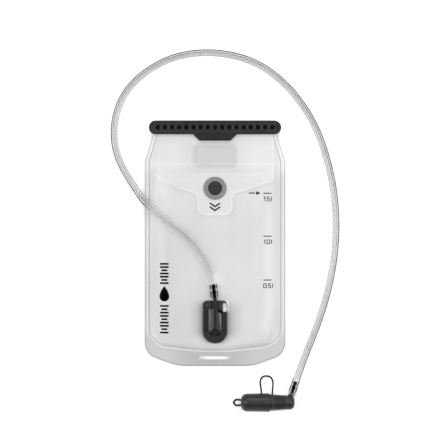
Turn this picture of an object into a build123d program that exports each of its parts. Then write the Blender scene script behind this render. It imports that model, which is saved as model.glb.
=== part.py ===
"""Soft hydration bladder that lies on its back, with its drinking hose and bite valve.

Millimetres. The pouch lies in the XY plane on z = 0. +Y runs from the pouch's bottom
seam to its mouth, and +Z is the side with the outlet. Bodies: the pouch, its fold-over
neck with the rear lip, the front lip, the drinking line, the bite valve, its sleeve,
its dust cap and the poppet of the outlet.
"""
import os
from math import cos, pi, radians, sin, tan

from build123d import *

os.makedirs("parts", exist_ok=True)

# Films and pouch
FILM = 0.6
PATCH = 0.6
SEAM_Z = 6.15
PEAK_Z = 16.6
POUCH_W = 189.0
SEAM_W = 6.0
POUCH_TOP_Y = 107.6
POUCH_BOTTOM_Y = -165.25
SLOPE_TOP_Y = 110.0
INNER_CORNER_Y = -136.0
INNER_BOTTOM_Y = -145.5
INNER_CORNER_R = 26.0
INNER_BOTTOM_R = 280.0
SLOT_L = 42.5
SLOT_W = 4.6
SLOT_Y = -154.2
CORNER_Y = -149.0
BOTTOM_HALF = 50.0
CORNER_R = 22.0
BOTTOM_R = 60.0
RIM_MARGIN = 2.25

# Each section of the puffed film: inset of the sides, inset of the bottom, upper edge
# and share of the height. The film is steep below the dock, which keeps it flat there.
FRONT_SECTIONS = ((0, 0, SLOPE_TOP_Y, 0), (9, 3, 103, 0.6), (25, 9, 91, 1))
BACK_SECTIONS = ((0, 0, SLOPE_TOP_Y, 0), (10, 4, 100, 0.6), (25, 11, 85, 1))

# Neck, lips and magnets
NECK_Y = 109.0
NECK_W = 167.6
NECK_TOP_Y = 163.0
NECK_TAPER = (110.8, 144.4)
LIP_L = 178.0
LIP_H = 18.4
LIP_T = 5.3
LIP_EDGE_R = 1.2
SEAL_W = 6.0
LIP_Y = 156.05
NECK_GAP = 0.5
POCKETS = 17
POCKET_PITCH = 9.63
POCKET_D = 6.2
POCKET_RECESS = 1.2
MAGNET_T = 2.4
TAB_W = 58.4
TAB_TIP_W = 41.0
TAB_H = 8.5
TAB_CORNER_R = 2.5
TAB_MAGNET_L = 24.0
TAB_MAGNET_W = 5.0
REAR_TAB_W = 60.0
REAR_TAB_H = 32.4
REAR_TAB_Y = 117.7
REAR_TAB_Z = 1.6
REAR_TAB_T = 1.2
REAR_TAB_EDGE = 4.0
REAR_STRAP_W = 44.0

# Reinforcement patch: half widths of its shoulders and tongue, and their levels
PATCH_HALF = 79.0
PATCH_SHOULDER_Y = 84.0
TONGUE_HALF = 24.0
TONGUE_TOP_Y = 65.5
TONGUE_Y = 37.7
TONGUE_CORNER_R = 11.0
TONGUE_NECK_R = 8.0
SHOULDER_R = 6.0

# Round button that the tab's magnet meets when the neck is folded
BUTTON_Y = 74.0
BUTTON_D = 30.4
BUTTON_H = 2.0
BUTTON_DISC_D = 19.0
BUTTON_FLOOR = 0.5
BUTTON_MAGNET_T = 0.7
BUTTON_DISC_T = 0.6
FOLD_GAP = 0.2

# Outlet dock and plug
DOCK_W = 33.4
DOCK_TOP_Y = -76.5
PORT_Y = -117.1
DOCK_CORNER_R = 6.0
DOCK_PLATE_T = 2.0
RIM_T = 3.0
RIM_H = 6.0
PORT_R = 5.6
TUBE_R = 7.9
CAGE_R = 7.0
CAGE_H = 7.0
NOTCH = (13.2, -85.8)
NOTCH_W = 5.4
NOTCH_L = 12.0
NOTCH_R = 1.4
SILL_H = 1.2
DOCK_MAGNET_R = (8.8, 12.0)
PLUG_MAGNET_R = (7.0, 9.6)
DOCK_MAGNET_T = 1.4
PLUG_MAGNET_T = 1.2
WATER_R = 1.6
GROOVE_R = 4.7
COLLAR_R = 4.9
POPPET_STEM_R = 1.15
CAGE_FLOOR = 1.2
CAGE_HOLE_R = 1.3
CAGE_HOLES_AT = 3.7
SEAT_R = 4.75
SEAT_T = 0.6
FLANGE_T = 1.0
SPRING_R = 3.2
SPRING_WIRE_R = 0.3
PLUG_W = 20.2
PLUG_TOP_Y = -87.2
PLUG_H = 8.0
PLUG_ROUND = 4.4
PLUG_END_RISE = 3.3
SKIRT_T = 1.6
SKIRT_BLOCK = (-1.5, -83.6)
SKIRT_BLOCK_W = 21.0
SKIRT_BLOCK_L = 7.0
SKIRT_BLOCK_H = 3.4
WEDGE = ((1.7, -88), (9.6, -88), (9.6, -95.5))
WEDGE_DEPTH = 1.6
GROOVE_W = 1.0
GROOVE_DROP = 1.8
NOSE_R = 3.0
NOSE_H = 0.75
TROUGH_R = 17.0
TROUGH_L = 31.0
TROUGH_TILT = 3.5
TROUGH_Z = 44.1
SCOOP_R = 10.0
SCOOP_DEPTH = 2.7
BARB_Z = 23.8
BARB_LEAN = 6.0

# Hose and its route: a free loop from the plug over the pouch's edge to the bite valve
HOSE_D = 9.5
HOSE_BORE = 6.35
HOSE_Z = 4.8
HOSE_GAP = 0.6
BARB_L = 21.8
BARB_R = 2.95
BARB_STEM_R = 2.2
BARB_RINGS = 3
ELBOW_BARB_L = 18.7

# Bite valve, whose axis runs along X
VALVE_Y = -213.9
CAP_R = 12.4
VALVE_Z = CAP_R
ELBOW_X = 99.1
ELBOW_TURN = 71.0
ELBOW_DIP = 8.0
CORE_R = 5.5
RUN_FIT = 0.1

INNER_PEAK_Z = PEAK_Z - FILM
PATCH_Z = PEAK_Z + PATCH
BACK_FILM_TOP = SEAM_Z - NECK_GAP / 2
FRONT_FILM_BASE = SEAM_Z + NECK_GAP / 2
BACK_FILM_BASE = BACK_FILM_TOP - FILM
FRONT_FILM_TOP = FRONT_FILM_BASE + FILM
LIP_TOP_Z = FRONT_FILM_TOP + LIP_T
BUTTON_TOP_Z = PATCH_Z + BUTTON_H
FOLD_Z = (LIP_TOP_Z + BUTTON_TOP_Z + FOLD_GAP) / 2
FOLD_Y = (POUCH_TOP_Y + NECK_Y) / 2
DOCK_TOP_Z = PEAK_Z + DOCK_PLATE_T
PLUG_BASE_Z = DOCK_TOP_Z + 2 * RUN_FIT
SKIRT_TOP_Z = PLUG_BASE_Z + SKIRT_T
TAB_Y = LIP_Y - LIP_H / 2

LINE_DIR = Vector(
    cos(radians(ELBOW_TURN)) * cos(radians(ELBOW_DIP)),
    sin(radians(ELBOW_TURN)) * cos(radians(ELBOW_DIP)),
    -sin(radians(ELBOW_DIP)),
)
ELBOW_CENTRE = Vector(ELBOW_X, VALVE_Y, VALVE_Z)
BARB_DIR = Vector(-sin(radians(BARB_LEAN)), cos(radians(BARB_LEAN)), 0)
BARB_BASE = Vector(0, DOCK_TOP_Y, BARB_Z)
HOSE_START_T = 10.8
HOSE_END = ELBOW_CENTRE + LINE_DIR * HOSE_START_T
FLOOR_T = (VALVE_Z - HOSE_Z) / sin(radians(ELBOW_DIP))
FLOOR_POINT = ELBOW_CENTRE + LINE_DIR * FLOOR_T
HOSE_ROUTE = [
    tuple(BARB_BASE + BARB_DIR * HOSE_GAP),
    tuple(BARB_BASE + BARB_DIR * 31),
    (-17, -14, 22.8),
    (-40, 12, 22.6),
    (-65, 30, 23.4),
    (-88, 47.5, 16.8),
    (-108, 74, HOSE_Z),
    (-134, 118, HOSE_Z),
    (-137.5, 164, HOSE_Z),
    (-122, 205, HOSE_Z),
    (-89, 236, HOSE_Z),
    (-44, 256, HOSE_Z),
    (12, 257.5, HOSE_Z),
    (62, 242, HOSE_Z),
    (103, 208, HOSE_Z),
    (134, 163, HOSE_Z),
    (152.5, 112, HOSE_Z),
    (163, 56, HOSE_Z),
    (163.5, -2, HOSE_Z),
    (154.5, -58, HOSE_Z),
    (138.5, -110, HOSE_Z),
    tuple(FLOOR_POINT),
    tuple(HOSE_END),
]


def save(piece, name):
    """Label a finished piece and write it."""
    piece.part.label = name
    export_step(piece.part, f"parts/{name}.step")


def puffed_solid(sections, seam_z, peak_z, shrink):
    """Solid under one puffed film, from its seam to its flat middle."""
    with BuildPart() as solid:
        for inset, rise, top_y, share in sections:
            side = POUCH_W / 2 - SEAM_W - inset - shrink
            corner = INNER_CORNER_Y + rise + shrink
            bottom = INNER_BOTTOM_Y + rise + shrink
            with BuildSketch(Plane.XY.offset(seam_z + share * (peak_z - seam_z))):
                with BuildLine():
                    Polyline(
                        (-side, top_y),
                        (side, top_y),
                        (side, corner),
                        (0, bottom),
                        (-side, corner),
                        close=True,
                    )
                make_face()
                fillet(vertices().group_by(Axis.Y)[1], INNER_CORNER_R - 0.5 * inset)
                fillet(vertices().group_by(Axis.Y)[0], INNER_BOTTOM_R)
        loft(ruled=True)
    return solid.part


def seam_outline(z):
    """Flat outline of the welded pouch, with its tapered bottom corners."""
    half = POUCH_W / 2
    with BuildSketch(Plane.XY.offset(z)) as outline:
        with BuildLine():
            Polyline(
                (-half, POUCH_TOP_Y),
                (half, POUCH_TOP_Y),
                (half, CORNER_Y),
                (BOTTOM_HALF, POUCH_BOTTOM_Y),
                (-BOTTOM_HALF, POUCH_BOTTOM_Y),
                (-half, CORNER_Y),
                close=True,
            )
        make_face()
        rows = vertices().group_by(Axis.Y)
        fillet(rows[0], BOTTOM_R)
        fillet(vertices().filter_by(lambda v: abs(v.Y - CORNER_Y) < 0.1), CORNER_R)
        with Locations((0, SLOT_Y)):
            SlotOverall(SLOT_L, SLOT_W, mode=Mode.SUBTRACT)
    return outline.sketch


def neck_outline(z, inset, top_y):
    """Flat outline of the tapered neck between the fold and the lips."""
    low = POUCH_W / 2 - inset
    high = NECK_W / 2 - inset
    with BuildSketch(Plane.XY.offset(z)) as outline:
        with BuildLine():
            Polyline(
                (-low, NECK_Y),
                (low, NECK_Y),
                (low, NECK_TAPER[0]),
                (high, NECK_TAPER[1]),
                (high, top_y),
                (-high, top_y),
                (-high, NECK_TAPER[1]),
                (-low, NECK_TAPER[0]),
                close=True,
            )
        make_face()
    return outline.sketch


def patch_outline(z):
    """Reinforcement with shoulders and a round-cornered tongue."""
    with BuildSketch(Plane.XY.offset(z)) as outline:
        with BuildLine():
            Polyline(
                (-PATCH_HALF, POUCH_TOP_Y),
                (PATCH_HALF, POUCH_TOP_Y),
                (PATCH_HALF, PATCH_SHOULDER_Y),
                (TONGUE_HALF, TONGUE_TOP_Y),
                (TONGUE_HALF, TONGUE_Y),
                (-TONGUE_HALF, TONGUE_Y),
                (-TONGUE_HALF, TONGUE_TOP_Y),
                (-PATCH_HALF, PATCH_SHOULDER_Y),
                close=True,
            )
        make_face()
        rows = vertices().group_by(Axis.Y)
        fillet(rows[0], TONGUE_CORNER_R)
        fillet(vertices().filter_by(lambda v: abs(v.Y - TONGUE_TOP_Y) < 0.1), TONGUE_NECK_R)
        fillet(vertices().filter_by(lambda v: abs(v.Y - PATCH_SHOULDER_Y) < 0.1), SHOULDER_R)
    return outline.sketch


def tab_outline(z, grow):
    """Trapezoid of the pull tab under the front lip."""
    with BuildSketch(Plane.XY.offset(z)) as outline:
        with BuildLine():
            Polyline(
                (-TAB_W / 2 - grow, TAB_Y + grow),
                (TAB_W / 2 + grow, TAB_Y + grow),
                (TAB_TIP_W / 2 + grow, TAB_Y - TAB_H - grow),
                (-TAB_TIP_W / 2 - grow, TAB_Y - TAB_H - grow),
                close=True,
            )
        make_face()
        fillet(vertices().group_by(Axis.Y)[0], TAB_CORNER_R)
    return outline.sketch


def dock_outline(z, inset):
    """Round-ended outline shared by the dock, its rim and the plug's skirt."""
    half = DOCK_W / 2 - inset
    length = DOCK_TOP_Y - inset - PORT_Y
    with BuildSketch(Plane.XY.offset(z)) as outline:
        with Locations((0, PORT_Y)):
            Circle(half)
        with Locations((0, PORT_Y + length / 2)):
            Rectangle(2 * half, length)
        fillet(vertices().group_by(Axis.Y)[-1], max(DOCK_CORNER_R - inset, 2))
    return outline.sketch


def plug_outline(z):
    """Bullet shape of the plug's grip."""
    half = PLUG_W / 2
    end_y = PORT_Y + PLUG_END_RISE
    with BuildSketch(Plane.XY.offset(z)) as outline:
        with Locations((0, end_y)):
            Circle(half)
        with Locations((0, (end_y + PLUG_TOP_Y) / 2)):
            Rectangle(PLUG_W, PLUG_TOP_Y - end_y)
    return outline.sketch


def pocket_row():
    """Places of the magnets along one lip."""
    return [((n - (POCKETS - 1) / 2) * POCKET_PITCH, LIP_Y) for n in range(POCKETS)]


# ---- Pouch --------------------------------------------------------------------------


def make_front_film():
    outer = puffed_solid(FRONT_SECTIONS, SEAM_Z, PEAK_Z, 0)
    inner = puffed_solid(FRONT_SECTIONS, SEAM_Z, INNER_PEAK_Z, FILM)
    with BuildPart() as front_film:
        extrude(seam_outline(SEAM_Z), amount=FILM)
        add(outer)
        add(inner, mode=Mode.SUBTRACT)
        split(bisect_by=Plane.XZ.offset(-POUCH_TOP_Y), keep=Keep.TOP)
        with Locations((0, PORT_Y, PEAK_Z)):
            Hole(TUBE_R + RUN_FIT, depth=2 * FILM)
    save(front_film, "front_film")


def make_back_film():
    outer = puffed_solid(BACK_SECTIONS, SEAM_Z, 0, 0)
    inner = puffed_solid(BACK_SECTIONS, SEAM_Z, FILM, FILM)
    with BuildPart() as back_film:
        extrude(seam_outline(SEAM_Z - FILM), amount=FILM)
        add(outer)
        add(inner, mode=Mode.SUBTRACT)
        split(bisect_by=Plane.XZ.offset(-POUCH_TOP_Y), keep=Keep.TOP)
    save(back_film, "back_film")


def make_front_patch():
    under = puffed_solid(FRONT_SECTIONS, SEAM_Z, PEAK_Z, 0)
    over = puffed_solid(FRONT_SECTIONS, SEAM_Z + PATCH, PATCH_Z, 0)
    with BuildPart() as front_patch:
        extrude(patch_outline(SEAM_Z + FILM), amount=PATCH_Z)
        add(over, mode=Mode.INTERSECT)
        add(under, mode=Mode.SUBTRACT)
    save(front_patch, "front_patch")


def make_slot_rim():
    with BuildPart() as slot_rim:
        with BuildSketch(Plane.XY.offset(SEAM_Z + FILM)):
            with Locations((0, SLOT_Y)):
                SlotOverall(SLOT_L + 2 * RIM_MARGIN, SLOT_W + 2 * RIM_MARGIN)
                SlotOverall(SLOT_L, SLOT_W, mode=Mode.SUBTRACT)
        extrude(amount=0.7)
        fillet(slot_rim.edges().group_by(Axis.Z)[-1], 0.3)
    save(slot_rim, "slot_rim")


def make_button():
    with BuildPart() as button_cup:
        with BuildSketch(Plane.XY.offset(PATCH_Z)):
            with Locations((0, BUTTON_Y)):
                Circle(BUTTON_D / 2)
        extrude(amount=BUTTON_H)
        fillet(button_cup.edges().group_by(Axis.Z)[-1], 0.8)
        with BuildSketch(Plane.XY.offset(PATCH_Z + BUTTON_FLOOR)):
            with Locations((0, BUTTON_Y)):
                Circle(BUTTON_DISC_D / 2)
        extrude(amount=BUTTON_H, mode=Mode.SUBTRACT)
    save(button_cup, "button_cup")

    with BuildPart() as button_magnet:
        with BuildSketch(Plane.XY.offset(PATCH_Z + BUTTON_FLOOR)):
            with Locations((0, BUTTON_Y)):
                Circle(BUTTON_DISC_D / 2)
        extrude(amount=BUTTON_MAGNET_T)
    save(button_magnet, "button_magnet")

    with BuildPart() as button_disc:
        with BuildSketch(Plane.XY.offset(PATCH_Z + BUTTON_FLOOR + BUTTON_MAGNET_T)):
            with Locations((0, BUTTON_Y)):
                Circle(BUTTON_DISC_D / 2)
        extrude(amount=BUTTON_DISC_T)
        fillet(button_disc.edges().group_by(Axis.Z)[-1], 0.25)
    save(button_disc, "button_disc")


# ---- Neck and lips ------------------------------------------------------------------


def make_neck_films():
    with BuildPart() as back_neck_film:
        extrude(neck_outline(BACK_FILM_BASE, 0, NECK_TOP_Y), amount=FILM)
    save(back_neck_film, "back_neck_film")

    with BuildPart() as front_neck_film:
        extrude(neck_outline(FRONT_FILM_BASE, 0, NECK_TOP_Y), amount=FILM)
    save(front_neck_film, "front_neck_film")

    with BuildPart() as neck_patch:
        extrude(neck_outline(FRONT_FILM_TOP, SEAM_W, TAB_Y - 0.2), amount=0.4)
        extrude(tab_outline(FRONT_FILM_TOP, 0.2), amount=0.4, mode=Mode.SUBTRACT)
    save(neck_patch, "neck_patch")

    with BuildPart() as neck_side_seams:
        extrude(neck_outline(BACK_FILM_TOP, 0, TAB_Y - 0.2), amount=NECK_GAP - 0.02)
        extrude(neck_outline(BACK_FILM_TOP, SEAM_W, TAB_Y), amount=NECK_GAP, mode=Mode.SUBTRACT)
    save(neck_side_seams, "neck_side_seams")


def make_lip(name, base_z, pocket_z, outer_face):
    """One flexible lip strip with its row of round magnet pockets."""
    with BuildPart() as lip:
        with BuildSketch(Plane.XY.offset(base_z)):
            with Locations((0, LIP_Y)):
                SlotOverall(LIP_L, LIP_H)
        extrude(amount=LIP_T)
        fillet(lip.edges().group_by(Axis.Z)[outer_face], LIP_EDGE_R)
        with BuildSketch(Plane.XY.offset(pocket_z)):
            with Locations(*pocket_row()):
                Circle(POCKET_D / 2)
        extrude(amount=MAGNET_T + POCKET_RECESS, mode=Mode.SUBTRACT)
    save(lip, name)


def make_magnets(name, base_z):
    """The row of disc magnets of one lip."""
    with BuildPart() as magnets:
        with BuildSketch(Plane.XY.offset(base_z)):
            with Locations(*pocket_row()):
                Circle(POCKET_D / 2)
        extrude(amount=MAGNET_T)
    save(magnets, name)


def make_seal(name, base_z):
    """Soft seal bead on the inner face of one lip."""
    with BuildPart() as seal:
        with BuildSketch(Plane.XY.offset(base_z)):
            with Locations((0, LIP_Y)):
                SlotOverall(LIP_L - 14, SEAL_W)
        extrude(amount=NECK_GAP / 2 - 0.05)
    save(seal, name)


def make_lips():
    recess_z = LIP_TOP_Z - POCKET_RECESS - MAGNET_T
    make_lip("rear_strip", 0, 0, 0)
    make_magnets("rear_magnets", POCKET_RECESS)
    make_seal("rear_seal", BACK_FILM_TOP)
    make_lip("front_strip", FRONT_FILM_TOP, recess_z, -1)
    make_magnets("front_magnets", recess_z)
    make_seal("front_seal", SEAM_Z + 0.05)


def make_tabs():
    with BuildPart() as front_tab:
        extrude(tab_outline(FRONT_FILM_TOP, 0), amount=LIP_T)
        fillet(front_tab.edges().group_by(Axis.Z)[-1].sort_by(Axis.Y)[:-1], 1.0)
        with BuildSketch(Plane.XY.offset(FRONT_FILM_TOP + 1)):
            with Locations((0, TAB_Y - TAB_H / 2)):
                Rectangle(TAB_MAGNET_L, TAB_MAGNET_W)
        extrude(amount=MAGNET_T, mode=Mode.SUBTRACT)
    save(front_tab, "front_tab")

    with BuildPart() as tab_magnet:
        with BuildSketch(Plane.XY.offset(FRONT_FILM_TOP + 1)):
            with Locations((0, TAB_Y - TAB_H / 2)):
                Rectangle(TAB_MAGNET_L, TAB_MAGNET_W)
        extrude(amount=MAGNET_T)
    save(tab_magnet, "tab_magnet")

    plate_top = REAR_TAB_Y + REAR_TAB_H / 2
    strap = TAB_Y - plate_top
    with BuildPart() as rear_pull_tab:
        with BuildSketch(Plane.XY.offset(REAR_TAB_Z)):
            with Locations((0, REAR_TAB_Y)):
                RectangleRounded(REAR_TAB_W, REAR_TAB_H, 6)
            with Locations((0, plate_top + strap / 2)):
                Rectangle(REAR_STRAP_W, strap)
        extrude(amount=REAR_TAB_T)
        with BuildSketch(Plane.XY.offset(REAR_TAB_Z + REAR_TAB_T / 2)):
            with Locations((0, REAR_TAB_Y + 1)):
                RectangleRounded(REAR_TAB_W - 2 * REAR_TAB_EDGE, REAR_TAB_H - 2 * REAR_TAB_EDGE, 3)
        extrude(amount=REAR_TAB_T, mode=Mode.SUBTRACT)
    save(rear_pull_tab, "rear_pull_tab")


# ---- Outlet -------------------------------------------------------------------------


def make_port_flange():
    """Flange welded inside the pouch, the socket through the film and the poppet's cage."""
    cage_z = INNER_PEAK_Z - FLANGE_T - CAGE_H
    with BuildPart() as port_flange:
        extrude(dock_outline(INNER_PEAK_Z - FLANGE_T, 2), amount=FLANGE_T)
        with BuildSketch(Plane.XY.offset(INNER_PEAK_Z)):
            with Locations((0, PORT_Y)):
                Circle(TUBE_R)
        extrude(amount=DOCK_TOP_Z - INNER_PEAK_Z)
        with BuildSketch(Plane.XY.offset(cage_z)):
            with Locations((0, PORT_Y)):
                Circle(CAGE_R)
        extrude(amount=CAGE_H)
        with BuildSketch(Plane.XY.offset(cage_z + CAGE_FLOOR)):
            with Locations((0, PORT_Y)):
                Circle(PORT_R)
        extrude(amount=CAGE_H - CAGE_FLOOR, mode=Mode.SUBTRACT)
        with BuildSketch(Plane.XY.offset(INNER_PEAK_Z - FLANGE_T)):
            with Locations((0, PORT_Y)):
                Circle(SEAT_R)
        extrude(amount=SEAT_T, mode=Mode.SUBTRACT)
        with BuildSketch(Plane.XY.offset(INNER_PEAK_Z - FLANGE_T + SEAT_T)):
            with Locations((0, PORT_Y)):
                Circle(PORT_R)
        extrude(amount=4, mode=Mode.SUBTRACT)
        with BuildSketch(Plane.XY.offset(cage_z)):
            with Locations((0, PORT_Y)):
                Circle(CAGE_HOLE_R)
                with PolarLocations(CAGE_HOLES_AT, 4):
                    Circle(CAGE_HOLE_R)
        extrude(amount=CAGE_FLOOR, mode=Mode.SUBTRACT)
    save(port_flange, "port_flange")


def make_poppet():
    cage_floor = INNER_PEAK_Z - FLANGE_T - CAGE_H + CAGE_FLOOR
    head_z = INNER_PEAK_Z - FLANGE_T - 1.5
    with BuildPart() as poppet:
        with BuildSketch(Plane.XY.offset(head_z)):
            with Locations((0, PORT_Y)):
                Circle(PORT_R - 0.3)
        extrude(amount=1.45)
        with BuildSketch(Plane.XY.offset(cage_floor - 0.6)):
            with Locations((0, PORT_Y)):
                Circle(POPPET_STEM_R)
        extrude(amount=head_z - cage_floor + 0.6)
    save(poppet, "poppet")

    coil_h = head_z - cage_floor - 2 * SPRING_WIRE_R - 0.1
    with BuildPart() as poppet_spring:
        with BuildLine(Plane((0, PORT_Y, cage_floor + SPRING_WIRE_R + 0.05))):
            coil = Helix(pitch=coil_h / 3, height=coil_h, radius=SPRING_R)
        with BuildSketch(Plane(coil @ 0, z_dir=coil % 0)):
            Circle(SPRING_WIRE_R)
        sweep(path=coil, is_frenet=True)
    save(poppet_spring, "poppet_spring")


def make_dock():
    with BuildPart() as dock_plate:
        extrude(dock_outline(PEAK_Z, 0), amount=DOCK_PLATE_T)
        with BuildSketch(Plane.XY.offset(PEAK_Z)):
            with Locations((0, PORT_Y)):
                Circle(TUBE_R + RUN_FIT / 2)
            with Locations(NOTCH):
                RectangleRounded(NOTCH_W, NOTCH_L, NOTCH_R)
        extrude(amount=DOCK_PLATE_T, mode=Mode.SUBTRACT)
        with BuildSketch(Plane.XY.offset(PEAK_Z)):
            with Locations((0, PORT_Y)):
                Circle(DOCK_MAGNET_R[1])
                Circle(DOCK_MAGNET_R[0], mode=Mode.SUBTRACT)
        extrude(amount=DOCK_MAGNET_T, mode=Mode.SUBTRACT)
    save(dock_plate, "dock_plate")

    with BuildPart() as dock_magnet:
        with BuildSketch(Plane.XY.offset(PEAK_Z)):
            with Locations((0, PORT_Y)):
                Circle(DOCK_MAGNET_R[1])
                Circle(DOCK_MAGNET_R[0], mode=Mode.SUBTRACT)
        extrude(amount=DOCK_MAGNET_T)
    save(dock_magnet, "dock_magnet")

    with BuildPart() as dock_rim:
        extrude(dock_outline(DOCK_TOP_Z, 0), amount=RIM_H)
        chamfer(dock_rim.edges().group_by(Axis.Z)[-1], 1.0)
        extrude(dock_outline(DOCK_TOP_Z, RIM_T), amount=RIM_H, mode=Mode.SUBTRACT)
        with BuildSketch(Plane.XY.offset(DOCK_TOP_Z)):
            with Locations((0, DOCK_TOP_Y - 2)):
                Rectangle(11, 6)
            with Locations(NOTCH):
                Rectangle(NOTCH_W, NOTCH_L)
        extrude(amount=RIM_H, mode=Mode.SUBTRACT)
        with BuildSketch(Plane.XY.offset(DOCK_TOP_Z + SILL_H)):
            with Locations((NOTCH[0] + NOTCH_W / 2, NOTCH[1])):
                Rectangle(NOTCH_W, NOTCH_L)
        extrude(amount=RIM_H, mode=Mode.SUBTRACT)
    save(dock_rim, "dock_rim")


def make_plug():
    skirt_inset = RIM_T + 0.3
    with BuildPart() as plug_skirt:
        extrude(dock_outline(PLUG_BASE_Z, skirt_inset), amount=SKIRT_T)
        with BuildSketch(Plane.XY.offset(SKIRT_TOP_Z)):
            with Locations(SKIRT_BLOCK):
                RectangleRounded(SKIRT_BLOCK_W, SKIRT_BLOCK_L, 2.4)
        extrude(amount=SKIRT_BLOCK_H)
        fillet(plug_skirt.edges().group_by(Axis.Z)[-1], 1.0)
        with BuildSketch(Plane.XY.offset(PLUG_BASE_Z)):
            with Locations((0, PORT_Y)):
                Circle(PORT_R - RUN_FIT)
            with Locations(NOTCH):
                RectangleRounded(NOTCH_W, NOTCH_L, NOTCH_R)
        extrude(amount=6, mode=Mode.SUBTRACT)
        with BuildSketch(Plane.XZ.offset(-PLUG_TOP_Y)):
            with Locations((0, BARB_Z)):
                Circle(COLLAR_R)
        extrude(amount=-12, mode=Mode.SUBTRACT)
        with BuildSketch(Plane.XY.offset(PLUG_BASE_Z)):
            with Locations((0, PORT_Y)):
                Circle(PLUG_MAGNET_R[1])
                Circle(PLUG_MAGNET_R[0], mode=Mode.SUBTRACT)
        extrude(amount=PLUG_MAGNET_T, mode=Mode.SUBTRACT)
    save(plug_skirt, "plug_skirt")

    with BuildPart() as plug_magnet:
        with BuildSketch(Plane.XY.offset(PLUG_BASE_Z)):
            with Locations((0, PORT_Y)):
                Circle(PLUG_MAGNET_R[1])
                Circle(PLUG_MAGNET_R[0], mode=Mode.SUBTRACT)
        extrude(amount=PLUG_MAGNET_T)
    save(plug_magnet, "plug_magnet")

    spigot_z = INNER_PEAK_Z - 0.1
    groove_z = DOCK_TOP_Z - GROOVE_DROP
    with BuildPart() as plug_body:
        extrude(plug_outline(SKIRT_TOP_Z), amount=PLUG_H)
        fillet(plug_body.edges().group_by(Axis.Z)[-1].sort_by(Axis.Y)[:-1], PLUG_ROUND)
        trough = Location((0, (PLUG_TOP_Y + PORT_Y) / 2, TROUGH_Z), (90 + TROUGH_TILT, 0, 0))
        with Locations(trough):
            Cylinder(TROUGH_R, TROUGH_L, mode=Mode.SUBTRACT)
        with BuildSketch(Plane.XY.offset(spigot_z)):
            with Locations((0, PORT_Y)):
                Circle(PORT_R - RUN_FIT)
        extrude(amount=SKIRT_TOP_Z - spigot_z)
        with BuildSketch(Plane.XY.offset(spigot_z - NOSE_H)):
            with Locations((0, PORT_Y)):
                Circle(NOSE_R)
        extrude(amount=NOSE_H)
        with BuildSketch(Plane.XY.offset(groove_z)):
            with Locations((0, PORT_Y)):
                Circle(PORT_R)
                Circle(GROOVE_R, mode=Mode.SUBTRACT)
        extrude(amount=GROOVE_W, mode=Mode.SUBTRACT)
        with Locations((0, PORT_Y, SKIRT_TOP_Z + PLUG_H + SCOOP_R - SCOOP_DEPTH)):
            Sphere(SCOOP_R, mode=Mode.SUBTRACT)
        with BuildSketch(Plane.XY.offset(SKIRT_TOP_Z + PLUG_H)):
            with BuildLine():
                Polyline(*WEDGE, close=True)
            make_face()
        extrude(amount=-WEDGE_DEPTH, mode=Mode.SUBTRACT)
        with BuildSketch(Plane.XZ.offset(-PLUG_TOP_Y)):
            with Locations((0, BARB_Z)):
                Circle(COLLAR_R)
        extrude(amount=-(DOCK_TOP_Y - PLUG_TOP_Y))
        with BuildSketch(Plane.XY.offset(spigot_z - NOSE_H)):
            with Locations((0, PORT_Y)):
                Circle(WATER_R)
        extrude(amount=BARB_Z - spigot_z + NOSE_H, mode=Mode.SUBTRACT)
        with BuildSketch(Plane.XZ.offset(-PORT_Y)):
            with Locations((0, BARB_Z)):
                Circle(WATER_R)
        extrude(amount=PORT_Y - DOCK_TOP_Y, mode=Mode.SUBTRACT)
    save(plug_body, "plug_body")

    with BuildPart() as plug_oring:
        with BuildSketch(Plane.XY.offset(groove_z)):
            with Locations((0, PORT_Y)):
                Circle(PORT_R - RUN_FIT / 2)
                Circle(GROOVE_R, mode=Mode.SUBTRACT)
        extrude(amount=GROOVE_W)
    save(plug_oring, "plug_oring")


def barb_profile(start, stem_r, crest_r, length, rings):
    """Half section of a hose barb along its own axis, as points (along, radius)."""
    step = (length - start) / rings
    points = [(start, 0), (start, stem_r)]
    for n in range(rings):
        near = start + n * step
        points.append((near + 0.35 * step, stem_r))
        points.append((near + 0.35 * step, crest_r))
        points.append((near + step, stem_r))
    points.append((length, 0))
    return points


def make_barb(name, base, direction, start, length):
    """Hollow hose barb from a base point along a direction."""
    side = Plane(origin=base, x_dir=direction, z_dir=direction.cross(Vector(0, 0, 1)).normalized())
    with BuildPart() as barb:
        with BuildSketch(side):
            with BuildLine():
                Polyline(*barb_profile(start, BARB_STEM_R, BARB_R, length, BARB_RINGS), close=True)
            make_face()
        revolve(axis=Axis(base, direction))
        with BuildSketch(Plane(origin=base, z_dir=direction)):
            Circle(WATER_R)
        extrude(amount=length + 1, mode=Mode.SUBTRACT)
    save(barb, name)


def make_hose():
    """Clear hose: straight runs joined by arcs as large as the runs allow."""
    route = [Vector(*point) for point in HOSE_ROUTE]
    runs = [b - a for a, b in zip(route, route[1:])]
    radii = []
    for first, second in zip(runs, runs[1:]):
        half_turn = radians(first.get_angle(second) / 2)
        radii.append(0.45 * min(first.length, second.length) / tan(half_turn))
    print("hose radii", [round(radius) for radius in radii])
    with BuildPart() as hose:
        with BuildLine() as path:
            FilletPolyline(*route, radius=radii)
        with BuildSketch(Plane(origin=route[0], z_dir=runs[0])):
            Circle(HOSE_D / 2)
            Circle(HOSE_BORE / 2, mode=Mode.SUBTRACT)
        sweep(path=path.line)
    length = sum(edge.length for edge in path.edges())
    section = pi / 4 * (HOSE_D**2 - HOSE_BORE**2)
    print("hose length", round(length, 1), "volume ratio", round(hose.part.volume / section / length, 4))
    save(hose, "hose")


# ---- Bite valve ---------------------------------------------------------------------

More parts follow.
